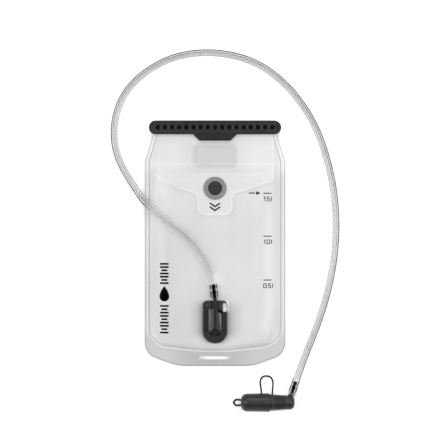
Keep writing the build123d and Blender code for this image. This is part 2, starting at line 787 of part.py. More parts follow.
VALVE_SIDE = Plane(origin=(0, VALVE_Y, VALVE_Z), x_dir=(1, 0, 0), z_dir=(0, -1, 0))
VALVE_AXIS = Axis((0, VALVE_Y, VALVE_Z), (1, 0, 0))
ELBOW_FACE_X = 95.9
ELBOW_END_X = 106.9
ELBOW_R = 9.6
ELBOW_END_R = 9.2
ELBOW_ROUND = 6.5
STUB_R = 4.2
CORE_END_X = 101.0
RING_X = 73.6
RING_W = 5.2
RING_R = 10.9
SLEEVE_X = RING_X + RING_W + 0.2
SLEEVE_END_X = ELBOW_FACE_X - 0.2
SLEEVE_R = 10.4
SLEEVE_END_R = 9.45
RIBS = 9
RIB_ROOT_R = 10.15
RIB_H = 0.5
RIB_FALL = 0.1
CAP_TIP_X = 34.7
CAP_OPEN_X = 73.3
CAP_WALL = 1.2
CAP_TAPER = 0.5
CAP_BAND_X = 66.0
CAP_ROUND = 8.4
CAP_END_T = 2.0
CAP_HOLLOW_TAPER = 7.6
CAP_HOLLOW_R = 4.5
CAP_FOOT = (62.2, 3.2)
CAP_LOOP_R = 1.5
CAP_LOOP = ((CAP_TIP_X, 3.1), (32.6, 3.8), (27.9, 3.8), (24.5, 0))
CAP_LOOP_TURN = 2.0
MOUTH_X = 44.0
MOUTH_PROFILE = ((MOUTH_X, 6.2), (56, 8.4), (66, 6.9))
MOUTH_LIP_T = 3.0
MOUTH_HOLLOW_R = 4.2
MOUTH_ROUND = 3.0
SLIT_W = 7.0
SLIT_T = 0.4
MOUTH_FLANGE_R = 10.4
CORE_MOUTH_X = 60.0
CORE_BORE_R = 2.2
ORING_X = 97.5
ORING_W = 1.0
SPIGOT_R = CORE_R - 1.3 - RUN_FIT
TETHER_R = 0.8
TETHER_LEG = 21.3
TETHER_LOOP = ((-6.8, 0), (-8.2, TETHER_LEG), (8.4, TETHER_LEG), (7.0, -2.6))
TETHER_TURN = 7.8
TETHER_TILT = 24.0
TETHER_X = 69.0


def turned(*points):
    """Piece turned round the valve's axis from its half section."""
    with BuildPart() as piece:
        with BuildSketch(VALVE_SIDE):
            with BuildLine():
                Polyline(*points, close=True)
            make_face()
        revolve(axis=VALVE_AXIS)
    return piece


def make_elbow():
    with BuildPart() as elbow:
        with BuildSketch(VALVE_SIDE):
            with BuildLine():
                Polyline(
                    (ELBOW_FACE_X, 0),
                    (ELBOW_FACE_X, ELBOW_R),
                    (ELBOW_END_X, ELBOW_END_R),
                    (ELBOW_END_X, 0),
                    close=True,
                )
            make_face()
            fillet(vertices().group_by(Axis.X)[-1].sort_by(Axis.Y)[-1], ELBOW_ROUND)
        revolve(axis=VALVE_AXIS)
        with BuildSketch(Plane(origin=ELBOW_CENTRE, z_dir=LINE_DIR)):
            Circle(STUB_R)
        extrude(amount=HOSE_START_T)
        with BuildSketch(Plane(origin=(ELBOW_FACE_X, VALVE_Y, VALVE_Z), z_dir=(1, 0, 0))):
            Circle(SPIGOT_R + RUN_FIT)
        extrude(amount=CORE_END_X - ELBOW_FACE_X + 0.2, mode=Mode.SUBTRACT)
        with BuildSketch(Plane(origin=ELBOW_CENTRE, z_dir=LINE_DIR)):
            Circle(WATER_R)
        extrude(amount=HOSE_START_T, mode=Mode.SUBTRACT)
        split(bisect_by=Plane.YZ.offset(ELBOW_FACE_X), keep=Keep.TOP)
    save(elbow, "elbow")

    ring = turned(
        (ORING_X, SPIGOT_R - 0.6),
        (ORING_X + ORING_W, SPIGOT_R - 0.6),
        (ORING_X + ORING_W, SPIGOT_R + RUN_FIT / 2),
        (ORING_X, SPIGOT_R + RUN_FIT / 2),
    )
    save(ring, "elbow_oring")


def make_valve_core():
    core = turned(
        (CORE_MOUTH_X, CORE_BORE_R),
        (CORE_MOUTH_X, CORE_R - 0.8),
        (CORE_MOUTH_X + 2, CORE_R),
        (SLEEVE_END_X + 0.1, CORE_R),
        (SLEEVE_END_X + 0.1, SPIGOT_R),
        (ORING_X, SPIGOT_R),
        (ORING_X, SPIGOT_R - 0.6),
        (ORING_X + ORING_W, SPIGOT_R - 0.6),
        (ORING_X + ORING_W, SPIGOT_R),
        (CORE_END_X, SPIGOT_R),
        (CORE_END_X, CORE_BORE_R),
    )
    save(core, "valve_core")


def make_sleeve():
    """Shut-off sleeve with raised ribs round it."""
    pitch = (SLEEVE_END_X - SLEEVE_X - 1.6) / RIBS
    outer = [(SLEEVE_X, CORE_R + RUN_FIT), (SLEEVE_X, SLEEVE_R)]
    for n in range(RIBS):
        start = SLEEVE_X + 0.8 + n * pitch
        root = RIB_ROOT_R - RIB_FALL * n
        outer.append((start, root))
        outer.append((start + 0.25 * pitch, root + RIB_H))
        outer.append((start + 0.6 * pitch, root + RIB_H))
        outer.append((start + 0.85 * pitch, root))
    outer.append((SLEEVE_END_X, SLEEVE_END_R))
    outer.append((SLEEVE_END_X, CORE_R + RUN_FIT))
    save(turned(*outer), "shutoff_sleeve")


def make_mouthpiece():
    with BuildPart() as mouthpiece:
        with BuildSketch(VALVE_SIDE):
            with BuildLine():
                Polyline(
                    (MOUTH_X, 0),
                    *MOUTH_PROFILE,
                    (69, MOUTH_FLANGE_R),
                    (RING_X, MOUTH_FLANGE_R),
                    (RING_X, CORE_R),
                    (CORE_MOUTH_X, CORE_R),
                    (MOUTH_X + MOUTH_LIP_T, MOUTH_HOLLOW_R),
                    (MOUTH_X + MOUTH_LIP_T, 0),
                    close=True,
                )
            make_face()
            fillet(vertices().group_by(Axis.X)[0].sort_by(Axis.Y)[-1], MOUTH_ROUND)
        revolve(axis=VALVE_AXIS)
        with Locations((MOUTH_X + MOUTH_LIP_T / 2, VALVE_Y, VALVE_Z)):
            Box(MOUTH_LIP_T + 1, SLIT_W, SLIT_T, mode=Mode.SUBTRACT)
    save(mouthpiece, "mouthpiece")


def make_tether():
    """Retaining ring on the valve and the thin loop that ties the cap to it."""
    tilt = radians(TETHER_TILT)
    loop_plane = Plane(
        origin=(TETHER_X, VALVE_Y + CAP_R + 0.5, VALVE_Z),
        x_dir=(1, 0, 0),
        z_dir=(0, sin(tilt), cos(tilt)),
    )
    with BuildPart() as tether:
        with BuildSketch(VALVE_SIDE):
            with Locations((RING_X + RING_W / 2, (RING_R + CORE_R) / 2)):
                Rectangle(RING_W, RING_R - CORE_R)
            fillet(vertices().group_by(Axis.Y)[-1], 0.8)
        revolve(axis=VALVE_AXIS)
        with BuildLine(loop_plane) as loop:
            FilletPolyline(*TETHER_LOOP, radius=TETHER_TURN)
        with BuildSketch(Plane(origin=loop.line @ 0, z_dir=loop.line % 0)):
            Circle(TETHER_R)
        sweep(path=loop.line)
    save(tether, "tether")


def make_cap():
    with BuildPart() as cap:
        with BuildSketch(VALVE_SIDE):
            with BuildLine():
                Polyline(
                    (CAP_TIP_X, 0),
                    (CAP_TIP_X, CAP_R - CAP_TAPER),
                    (CAP_BAND_X, CAP_R - CAP_TAPER / 2),
                    (CAP_BAND_X + 2, CAP_R),
                    (CAP_OPEN_X, CAP_R),
                    (CAP_OPEN_X, CAP_R - CAP_WALL),
                    (CAP_BAND_X, CAP_R - CAP_WALL),
                    (CAP_TIP_X + CAP_HOLLOW_TAPER, CAP_R - CAP_TAPER - CAP_WALL),
                    (CAP_TIP_X + CAP_END_T, CAP_HOLLOW_R),
                    (CAP_TIP_X + CAP_END_T, 0),
                    close=True,
                )
            make_face()
            fillet(vertices().group_by(Axis.X)[0].sort_by(Axis.Y)[-1], CAP_ROUND)
            fillet(vertices().group_by(Axis.X)[-1].sort_by(Axis.Y)[-1], 0.5)
        revolve(axis=VALVE_AXIS)
        with Locations((CAP_FOOT[0], VALVE_Y + CAP_R - 0.4, VALVE_Z)):
            Box(CAP_FOOT[1], 1.0, CAP_FOOT[1])
    save(cap, "cap")

    upper = [(x, VALVE_Y + away) for x, away in CAP_LOOP]
    lower = [(x, VALVE_Y - away) for x, away in CAP_LOOP[-2::-1]]
    with BuildPart() as cap_loop:
        with BuildLine(Plane.XY.offset(VALVE_Z)) as ring:
            FilletPolyline(*upper, *lower, radius=CAP_LOOP_TURN)
        with BuildSketch(Plane(origin=ring.line @ 0, z_dir=ring.line % 0)):
            Circle(CAP_LOOP_R)
        sweep(path=ring.line)
    save(cap_loop, "cap_loop")


make_front_film()
make_back_film()
make_front_patch()
make_slot_rim()
make_button()
make_neck_films()
make_lips()
make_tabs()
make_port_flange()
make_poppet()
make_dock()
make_plug()
make_barb("plug_barb", BARB_BASE, BARB_DIR, -1, BARB_L)
make_barb("elbow_barb", ELBOW_CENTRE, LINE_DIR, HOSE_START_T, HOSE_START_T + ELBOW_BARB_L)
make_hose()
make_elbow()
make_valve_core()
make_sleeve()
make_mouthpiece()
make_tether()
make_cap()
print("fold axis y", FOLD_Y, "z", FOLD_Z)
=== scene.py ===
"""Looks of the hydration bladder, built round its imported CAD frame.
"""
import math

import bmesh
import bpy
import numpy as np
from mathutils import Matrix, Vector, noise


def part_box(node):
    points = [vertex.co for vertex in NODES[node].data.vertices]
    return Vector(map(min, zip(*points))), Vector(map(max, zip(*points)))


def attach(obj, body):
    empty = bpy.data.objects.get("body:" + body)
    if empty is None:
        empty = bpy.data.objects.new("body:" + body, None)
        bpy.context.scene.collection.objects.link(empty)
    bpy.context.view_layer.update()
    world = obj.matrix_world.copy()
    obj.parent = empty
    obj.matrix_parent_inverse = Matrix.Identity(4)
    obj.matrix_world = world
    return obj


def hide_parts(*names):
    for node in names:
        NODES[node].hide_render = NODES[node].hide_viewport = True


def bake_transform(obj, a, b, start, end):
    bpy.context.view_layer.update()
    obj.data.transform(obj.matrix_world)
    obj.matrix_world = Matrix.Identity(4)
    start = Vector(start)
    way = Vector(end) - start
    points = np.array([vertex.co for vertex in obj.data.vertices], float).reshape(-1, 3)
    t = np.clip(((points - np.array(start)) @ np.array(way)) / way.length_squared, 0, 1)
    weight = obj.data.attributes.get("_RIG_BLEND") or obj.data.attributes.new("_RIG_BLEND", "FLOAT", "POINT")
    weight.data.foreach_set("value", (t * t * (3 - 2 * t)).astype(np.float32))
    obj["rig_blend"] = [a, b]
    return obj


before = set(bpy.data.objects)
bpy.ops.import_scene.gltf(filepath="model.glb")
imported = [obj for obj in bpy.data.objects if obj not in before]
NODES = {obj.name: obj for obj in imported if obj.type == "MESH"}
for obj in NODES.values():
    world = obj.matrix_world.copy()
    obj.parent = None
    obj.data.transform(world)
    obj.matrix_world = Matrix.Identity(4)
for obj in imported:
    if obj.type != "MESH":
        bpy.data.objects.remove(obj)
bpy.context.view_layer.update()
MM = 0.001

# Film's thickness, heights of its outer faces at the seam and the neck, and the pouch's thickness
FILM = 0.6
SEAM_TOP, SEAM_BOTTOM = 6.75, 5.55
NECK_TOP, NECK_BOTTOM = 7.0, 5.3
PEAK = 16.6

# Pouch's half widths, and its places along Y from the bottom seam to the lips
HALF_W, FLANGE = 94.5, 6.0
INNER_W = HALF_W - FLANGE
LOW_Y, CORNER_Y, INNER_LOW_Y, INNER_CORNER_Y = -165.25, -149, -145.5, -136
FOLD_LOW_Y, FOLD_HIGH_Y, SPLIT_Y, HIGH_Y = 100, 110, 124.0, 163.0
TAPER_Y, LIP_Y, LIP_HALF_W = 110.8, 144.4, 83.8

# How the front lip bows: where it starts from each side and from below, and over what reach
LIP_END_X, LIP_BOW = 86, 52
OPEN_LOW_Y, OPEN_REACH = 122, 34
MAGNET_PITCH = 9.63

# Parts on the pouch
SLOT_Y, SLOT_W, SLOT_H = -154.2, 42.5, 4.6
PORT_Y, PORT_R = -117.1, 8
BUTTON_Y, BUTTON_R = 74, 16
PATCH_LOW_Y, PATCH_HALF_W, PATCH_HIGH_Y = 37.7, 79, 88
TONGUE_HALF_W, TONGUE_TOP_Y, TONGUE_R = 24, 65.5, 11
WELD_SLACK = 0.3
WELD_TOP, WELD_THICK = 6.38, 0.46
PATCH_LIFT, PATCH_THICK, PATCH_COLUMNS = 0.6, 0.56, 61
NECK_PATCH_TOP, NECK_PATCH_THICK = 7.4, 0.36
REAR_TAB_Z, REAR_PANEL_Z = (1.6, 2.8), 2.2

# Drinking line: the hose, the stretches where its barbs flare it, and the middle of its loop
HOSE_D, HOSE_BORE, HOSE_SIDES = 9.5, 6.35, 32
BARB_FLARES = ((3.6, 13.2), (14.6, 21.4))
FLARE = 0.45
END_STEPS = 24
LOOP_CENTRE = (10, 20)

# Print: its thickness, how far it lies above the film, its places, and the half widths of the emblem's bars
INK = 0.06
FILM_LIFT, CHEVRON_LIFT, EMBLEM_LIFT = 0.08, 0.66, 0.12
MARK_X, EMBLEM_X = 65, -68
UPPER_BARS = (5.8, 5.8, 4.0, 5.8, 5.8, 4.0, 5.8)
LOWER_BARS = (5.8, 4.0, 5.8, 5.8, 4.0, 5.8, 5.8, 4.0, 5.8)


# ---- Camera ----


def make_camera():
    """Long lens straight above the bladder."""
    data = bpy.data.cameras.new("camera")
    data.type = "PERSP"
    data.lens = 135
    data.sensor_width = 36
    data.clip_start, data.clip_end = 0.05, 20
    cam = bpy.data.objects.new("camera", data)
    cam.location = (0.0, 0.0381, 2.180)
    bpy.context.scene.collection.objects.link(cam)
    bpy.context.scene.camera = cam


make_camera()


# ---- Materials ----


class Tree:
    """Short way to build a material's nodes. In node(), i0 is the first input, and others go by name."""

    def __init__(self, name):
        self.mat = bpy.data.materials.new(name)
        self.mat.use_nodes = True
        self.nt = self.mat.node_tree
        self.nt.nodes.clear()
        self.out = self.nt.nodes.new("ShaderNodeOutputMaterial")

    def node(self, kind, **inputs):
        n = self.nt.nodes.new("ShaderNode" + kind)
        for key, value in inputs.items():
            if key in ("operation", "attribute_name"):
                setattr(n, key, value)
            elif key[0] == "i" and key[1:].isdigit():
                self.set(n.inputs[int(key[1:])], value)
            else:
                self.set(n.inputs[key.replace("_", " ")], value)
        return n

    def set(self, socket, value):
        if isinstance(value, bpy.types.NodeSocket):
            self.nt.links.new(value, socket)
        elif isinstance(value, (tuple, list)) and len(value) == 3 and socket.type == "RGBA":
            socket.default_value = (*value, 1)
        else:
            socket.default_value = value

    def coords(self, scale=(1, 1, 1)):
        tc = self.node("TexCoord")
        mapping = self.node("Mapping", Vector=tc.outputs["Object"], Scale=scale)
        return mapping.outputs[0]

    def noise(self, scale, detail=4.0, rough=0.5, vector=None):
        place = vector or self.coords()
        return self.node("TexNoise", Vector=place, Scale=scale, Detail=detail, Roughness=rough).outputs[0]

    def ramp(self, value, *stops):
        r = self.nt.nodes.new("ShaderNodeValToRGB")
        e = r.color_ramp.elements
        e[1].position, e[0].position = stops[-1][0], stops[0][0]
        e[1].color, e[0].color = (*grey(stops[-1][1]), 1), (*grey(stops[0][1]), 1)
        for pos, shade in stops[1:-1]:
            e.new(pos).color = (*grey(shade), 1)
        self.nt.links.new(value, r.inputs[0])
        return r.outputs[0]

    def span(self, value, a, b, c, d):
        return self.node("MapRange", Value=value, From_Min=a, From_Max=b, To_Min=c, To_Max=d).outputs[0]

    def math(self, operation, a, b):
        return self.node("Math", operation=operation, i0=a, i1=b).outputs[0]

    def bump(self, height, strength, distance, normal=None):
        n = self.node("Bump", Height=height, Strength=strength, Distance=distance)
        if normal:
            self.nt.links.new(normal, n.inputs["Normal"])
        return n.outputs[0]

    def even(self, value):
        return self.node("CombineColor", i0=value, i1=value, i2=value).outputs[0]

    def attribute(self, name):
        return self.node("Attribute", attribute_name=name).outputs["Fac"]

    def rest_of(self, value):
        return self.math("SUBTRACT", 1.0, value)

    def finish(self, shader):
        self.nt.links.new(shader, self.out.inputs[0])
        return self.mat


def grey(v):
    """Colour with one value in all three channels."""
    return (v, v, v)


def film_material(name, tone, clear, through, lines):
    """Frosted film: part solid white, part glowing through, part clear, with a welded edge's lines, or the
    patch's painted highlight along its edge, and painted shade and painted light where they are stored.
    """
    t = Tree(name)
    cloud = t.noise(14.0, 5.0, 0.55)
    streaks = t.noise(30.0, 3.0, 0.6, t.coords((1.0, 0.18, 1.0)))
    grain = t.noise(1600.0, 2.0, 0.6)
    uneven = t.math("ADD", t.span(cloud, 0.35, 0.65, -0.012, 0.012), t.span(streaks, 0.3, 0.7, -0.008, 0.008))
    base = t.math("ADD", tone, uneven)
    # Weld lines along the edge, and on the patch a painted highlight along its edge
    seam = t.ramp(t.span(t.attribute("edge_mm"), 0.0, EDGE_REACH, 0.0, 1.0), *lines)
    base = t.math("MULTIPLY", base, seam)
    # Painted shade, and painted light where the stored shade is below 0
    base = t.math("MULTIPLY", base, t.rest_of(t.attribute("shade")))
    colour = t.node("CombineColor", i0=base, i1=base, i2=t.math("MULTIPLY", base, 1.003)).outputs[0]
    fine = t.bump(grain, 0.10, 0.0002)
    normal = t.bump(streaks, 0.25, 0.0006, fine)
    rough = t.span(cloud, 0.3, 0.7, 0.30, 0.42)
    solid = t.node("BsdfPrincipled", Base_Color=colour, Roughness=rough, IOR=1.46, Normal=normal)
    glow = t.node("BsdfTranslucent", Color=colour, Normal=normal)
    both = t.node("MixShader", i0=through, i1=solid.outputs[0], i2=glow.outputs[0])
    hole = t.node("BsdfTransparent", Color=grey(0.97))
    return t.finish(t.node("MixShader", i0=clear, i1=both.outputs[0], i2=hole.outputs[0]).outputs[0])


def moulded(name, tone, rough, grain_scale, grain, mottled=0.25, tint=(1, 1, 1), shine=0.5):
    """Moulded plastic or rubber with fine grain, faint mottling and lighter convex edges."""
    t = Tree(name)
    cloud = t.noise(60.0, 5.0, 0.6)
    fine = t.noise(grain_scale, 3.0, 0.6)
    value = t.math("MULTIPLY", tone, t.span(cloud, 0.3, 0.7, 1 - mottled, 1 + mottled))
    # Lighter where the surface is convex, at its edges
    convex_edges = t.ramp(t.node("NewGeometry").outputs["Pointiness"], (0.5, 0.0), (0.56, 1.0))
    value = t.math("ADD", value, t.math("MULTIPLY", convex_edges, tone * 0.7 + 0.004))
    red, green, blue = (t.math("MULTIPLY", value, share) for share in tint)
    colour = t.node("CombineColor", i0=red, i1=green, i2=blue).outputs[0]
    shader = t.node(
        "BsdfPrincipled",
        Base_Color=colour,
        Roughness=t.span(fine, 0.3, 0.7, rough * 0.85, rough * 1.15),
        Specular_IOR_Level=shine,
        Normal=t.bump(fine, grain, 0.0002),
    )
    return t.finish(shader.outputs[0])


def metal(name, tone, rough):
    """Brushed metal."""
    t = Tree(name)
    brushed = t.noise(300.0, 4.0, 0.6, t.coords((1.0, 8.0, 1.0)))
    value = t.math("MULTIPLY", tone, t.span(brushed, 0.3, 0.7, 0.85, 1.15))
    shader = t.node(
        "BsdfPrincipled",
        Base_Color=t.even(value),
        Metallic=1.0,
        Roughness=t.span(brushed, 0.3, 0.7, rough * 0.8, rough * 1.2),
        Normal=t.bump(brushed, 0.08, 0.0002),
    )
    return t.finish(shader.outputs[0])


def clear_material(name, through, line, tones, inner=False):
    """Clear tube wall: see-through face on, with a dark line where the eye looks along the wall.

    The stored attributes say where the hose lies over the film (lit), where its tone is painted lighter and
    its lines fainter as painted light, where it is stretched over a barb (snug), and how far a point faces
    away from the middle of the hose's loop (away), whose side gets a painted shade.
    """
    t = Tree(name)
    facing = t.node("LayerWeight", Blend=0.5).outputs["Facing"]
    haze = t.noise(18.0, 3.0, 0.5)
    lit, snug, away = (t.attribute(key) for key in ("lit", "snug", "away"))
    tone = t.span(away, *AWAY, *tones)
    tone = t.math("ADD", tone, t.math("MULTIPLY", lit, t.math("SUBTRACT", LIT_TONE, tone)))
    clean = t.rest_of(t.math("MULTIPLY", snug, 0.97))
    solid = t.node(
        "BsdfPrincipled",
        Base_Color=t.math("MULTIPLY", tone, clean),
        Roughness=t.span(haze, 0.3, 0.7, 0.16, 0.24),
        Specular_IOR_Level=0.1,
    )
    wall = t.span(haze, 0.3, 0.7, through - 0.008, through + 0.008)
    wall = t.math("ADD", wall, t.math("MULTIPLY", lit, LIT_THROUGH - through))
    hole = t.node("BsdfTransparent", Color=t.even(wall))
    line = t.ramp(facing, *line)
    if inner:
        line = t.math("MULTIPLY", line, t.span(away, *AWAY, 0.15, 1.0))
    line = t.math("MULTIPLY", line, t.rest_of(t.math("MULTIPLY", lit, 0.55)))
    line = t.math("MULTIPLY", line, t.rest_of(snug))
    edge = t.ramp(facing, (0.0, 0.0), (0.24, 0.0), (0.34, 0.95), (1.0, 0.97))
    fitted = t.math("MULTIPLY", snug, 0.0 if inner else edge)
    body = t.node("MixShader", i0=t.math("MAXIMUM", line, fitted), i1=hole.outputs[0], i2=solid.outputs[0])
    gloss = t.node("BsdfAnisotropic", Color=grey(0.9), Roughness=0.2)
    front = t.rest_of(t.node("NewGeometry").outputs["Backfacing"])
    shine = t.math("MULTIPLY", front, t.ramp(facing, (0.0, 0.02), (0.6, 0.03), (1.0, 0.08)))
    for part in (lit, snug):
        shine = t.math("MULTIPLY", shine, t.rest_of(t.math("MULTIPLY", part, 0.9)))
    return t.finish(t.node("MixShader", i0=shine, i1=body.outputs[0], i2=gloss.outputs[0]).outputs[0])


# How the film's tone changes inwards from its edge: share of EDGE_REACH in mm, then share of the tone
EDGE_REACH = 20.0
EDGE_LINES = (
    (0.0, 0.55), (0.03, 0.60), (0.065, 1.10), (0.24, 1.12),
    (0.275, 0.66), (0.32, 0.68), (0.36, 1.05), (0.5, 1.0),
)
# Painted highlight along the patch's edge
PATCH_HIGHLIGHT_LINES = ((0.0, 1.05), (0.03, 1.12), (0.08, 1.09), (0.16, 1.0), (0.5, 1.0))

# Opacity of the hose's wall and bore by the angle they are seen at, and tones on the loop's two sides, with
# painted shade on the side away from the loop's middle
AWAY = (0.2, 0.8)
# Painted light on the hose where it lies over the film: its tone and how much it lets through
LIT_TONE, LIT_THROUGH = 0.48, 0.983
WALL_LINE = ((0.0, 0.0), (0.24, 0.0), (0.34, 0.9), (1.0, 0.95))
BORE_LINE = ((0.0, 0.0), (0.04, 0.0), (0.08, 0.7), (0.14, 0.7), (0.19, 0.0), (1.0, 0.0))
WALL_TONES, BORE_TONES = (0.40, 0.035), (0.3, 0.05)

MATERIALS = {
    "film": film_material("frosted_film", 0.595, 0.08, 0.30, EDGE_LINES),
    "back": film_material("back_film", 0.60, 0.08, 0.30, EDGE_LINES),
    "patch": film_material("patch_film", 0.59, 0.12, 0.25, PATCH_HIGHLIGHT_LINES),
    "matte": moulded("matte_black", 0.013, 0.5, 2200.0, 0.25, shine=0.10),
    "gloss": moulded("gloss_black", 0.003, 0.24, 900.0, 0.04, shine=0.55),
    "rubber": moulded("black_rubber", 0.009, 0.34, 1800.0, 0.25, tint=(1.0, 1.0, 1.08), shine=0.30),
    "dull": moulded("dull_black", 0.004, 0.5, 1200.0, 0.10, shine=0.10),
    "black_print": moulded("print_ink", 0.001, 0.6, 1500.0, 0.04, shine=0.0),
    "grey": moulded("grey_tpu", 0.084, 0.34, 1500.0, 0.12, mottled=0.08),
    "rim": moulded("slot_rim_film", 0.28, 0.3, 1500.0, 0.1, mottled=0.06),
    # Near black for the barbs, and painted shade for the front lip's magnets in their pockets and for the
    # plug's wedge
    "black_and_shade": moulded("black_and_painted_shade", 0.0006, 0.6, 900.0, 0.03, shine=0.0),
    "rear_tab": moulded("rear_tab_grey", 0.16, 0.45, 1500.0, 0.2, mottled=0.1),
    "silicone": moulded("silicone_seal", 0.45, 0.4, 1200.0, 0.1, mottled=0.06),
    "magnet": metal("magnet_steel", 0.10, 0.32),
    "spring": metal("spring_steel", 0.55, 0.25),
    "clear": clear_material("clear_hose", 0.95, WALL_LINE, WALL_TONES),
    "bore": clear_material("clear_bore", 0.93, BORE_LINE, BORE_TONES, inner=True),
}


def paint(obj, key):
    """Gives a new piece one material."""
    obj.data.materials.clear()
    obj.data.materials.append(MATERIALS[key])


def recoat(node, key):
    """Better material on a CAD node that stays, through its object's slots."""
    obj = NODES[node]
    if not obj.data.materials:
        obj.data.materials.append(None)
    for slot in obj.material_slots:
        slot.link = "OBJECT"
        slot.material = MATERIALS[key]


# ---- Mesh helpers ----


def add_object(mesh, key):
    """New object in the scene, named after its mesh, with one material."""
    obj = bpy.data.objects.new(mesh.name, mesh)
    bpy.context.scene.collection.objects.link(obj)
    paint(obj, key)
    return obj


def crisp(obj, angle):
    """Hard edges where faces meet at more than an angle."""
    obj.data.shade_smooth()
    obj.data.set_sharp_from_angle(angle=math.radians(angle))


def mesh_from(name, points, faces):
    """Mesh of points in metres and faces of their indices."""
    mesh = bpy.data.meshes.new(name)
    mesh.from_pydata([tuple(p) for p in points], [], [tuple(f) for f in faces])
    mesh.validate()
    return mesh


def free_mesh(bm, name):
    """Turns a bmesh into a mesh."""
    mesh = bpy.data.meshes.new(name)
    bm.to_mesh(mesh)
    bm.free()
    return mesh


def shell(name, top, bottom):
    """Closed shell between two grids of points, rows by columns by 3, in millimetres."""
    rows, cols = top.shape[:2]
    points = np.concatenate([top.reshape(-1, 3), bottom.reshape(-1, 3)]) * MM
    under = rows * cols

    def at(r, c):
        return r * cols + c

    faces = []
    for r in range(rows - 1):
        for c in range(cols - 1):
            a, b, d, e = at(r, c), at(r, c + 1), at(r + 1, c + 1), at(r + 1, c)
            faces.append((a, b, d, e))
            faces.append((under + a, under + e, under + d, under + b))
    rim = [at(0, c) for c in range(cols)]
    rim += [at(r, cols - 1) for r in range(1, rows)]
    rim += [at(rows - 1, c) for c in range(cols - 2, -1, -1)]
    rim += [at(r, 0) for r in range(rows - 2, 0, -1)]
    for a, b in zip(rim, rim[1:] + rim[:1]):
        faces.append((b, a, under + a, under + b))
    return mesh_from(name, points, faces)


def layer(name, x, y, top, thick):
    """Closed sheet whose upper face has these heights, in millimetres."""
    top = np.broadcast_to(top, x.shape)
    return shell(name, np.stack([x, y, top], -1), np.stack([x, y, top - thick], -1))


def prism(name, outline, low, high):
    """Closed prism over an outline of (x, y), in millimetres."""
    bm = bmesh.new()
    ring = [bm.verts.new((x * MM, y * MM, low * MM)) for x, y in outline]
    face = bm.faces.new(ring)
    grown = bmesh.ops.extrude_face_region(bm, geom=[face])
    for v in grown["geom"]:
        if isinstance(v, bmesh.types.BMVert):
            v.co.z = high * MM
    bmesh.ops.recalc_face_normals(bm, faces=bm.faces)
    return free_mesh(bm, name)


def cut(obj, *cutters):
    """Cuts throwaway meshes out of an object."""
    for mesh in cutters:
        tool = bpy.data.objects.new("tool", mesh)
        bpy.context.scene.collection.objects.link(tool)
        mod = obj.modifiers.new("cut", "BOOLEAN")
        mod.object, mod.operation, mod.solver = tool, "DIFFERENCE", "EXACT"
        settle(obj)
        bpy.data.objects.remove(tool)


def settle(obj):
    """Applies an object's modifiers."""
    dg = bpy.context.evaluated_depsgraph_get()
    new = bpy.data.meshes.new_from_object(obj.evaluated_get(dg), depsgraph=dg)
    obj.modifiers.clear()
    old, obj.data = obj.data, new
    bpy.data.meshes.remove(old)


def coords_mm(obj):
    """Places of a mesh's points, in millimetres."""
    co = np.empty(len(obj.data.vertices) * 3)
    obj.data.vertices.foreach_get("co", co)
    return co.reshape(-1, 3) / MM


def store(obj, name, values):
    """Stores one value for each point, for materials and blends to read."""
    layer = obj.data.attributes.get(name) or obj.data.attributes.new(name, "FLOAT", "POINT")
    layer.data.foreach_set("value", np.asarray(values, np.float32))


def smoothstep(t):
    """0 below 0, 1 above 1, and smooth in between."""
    t = np.clip(t, 0, 1)
    return t * t * (3 - 2 * t)


def rounded(corners, radii, steps=10):
    """Closed outline with its corners rounded, as an array of (x, y)."""
    out = []
    n = len(corners)
    for i, (corner, radius) in enumerate(zip(corners, radii)):
        p = np.array(corner, float)
        a = np.array(corners[i - 1], float) - p
        b = np.array(corners[(i + 1) % n], float) - p
        a, b = a / np.linalg.norm(a), b / np.linalg.norm(b)
        if radius <= 0:
            out.append(p)
            continue
        half = math.acos(np.clip(a @ b, -1, 1)) / 2
        centre = p + (a + b) / np.linalg.norm(a + b) * radius / math.sin(half)
        start, end = p + a * radius / math.tan(half), p + b * radius / math.tan(half)
        t0 = math.atan2(*(start - centre)[::-1])
        t1 = math.atan2(*(end - centre)[::-1])
        turn = (t1 - t0 + math.pi) % (2 * math.pi) - math.pi
        for k in range(steps + 1):
            t = t0 + turn * k / steps
            out.append(centre + radius * np.array([math.cos(t), math.sin(t)]))
    return np.array(out)


def distance_to(outline, x, y):
    """Distance from points to a closed outline, and the outline's normal there."""
    shape = x.shape
    p = np.stack([x.ravel(), y.ravel()], 1)
    best = np.full(len(p), 1e9)
    away = np.zeros((len(p), 2))
    for a, b in zip(outline, np.roll(outline, -1, 0)):
        ab = b - a
        t = np.clip(((p - a) @ ab) / (ab @ ab), 0, 1)
        d = p - a - t[:, None] * ab
        r = np.linalg.norm(d, axis=1)
        near = r < best
        best[near] = r[near]
        away[near] = d[near]
    away /= np.maximum(best, 1e-6)[:, None]
    return best.reshape(shape), away.reshape(*shape, 2)


# ---- Hose ----

# Control points of the hose's line, in metres, as in the CAD part
ROUTE = [
    (-0.000063, -0.075903, 0.0238),
    (-0.003240, -0.045670, 0.0238),
    (-0.017, -0.014, 0.0228),
    (-0.040, 0.012, 0.0226),
    (-0.065, 0.030, 0.0234),
    (-0.088, 0.0475, 0.0168),
    (-0.108, 0.074, 0.0048),
    (-0.134, 0.118, 0.0048),
    (-0.1375, 0.164, 0.0048),
    (-0.122, 0.205, 0.0048),
    (-0.089, 0.236, 0.0048),
    (-0.044, 0.256, 0.0048),
    (0.012, 0.2575, 0.0048),
    (0.062, 0.242, 0.0048),
    (0.103, 0.208, 0.0048),
    (0.134, 0.163, 0.0048),
    (0.1525, 0.112, 0.0048),
    (0.163, 0.056, 0.0048),
    (0.1635, -0.002, 0.0048),
    (0.1545, -0.058, 0.0048),
    (0.1385, -0.110, 0.0048),
    (0.11670, -0.16278, 0.0048),
    (0.10258, -0.20379, 0.010897),
]


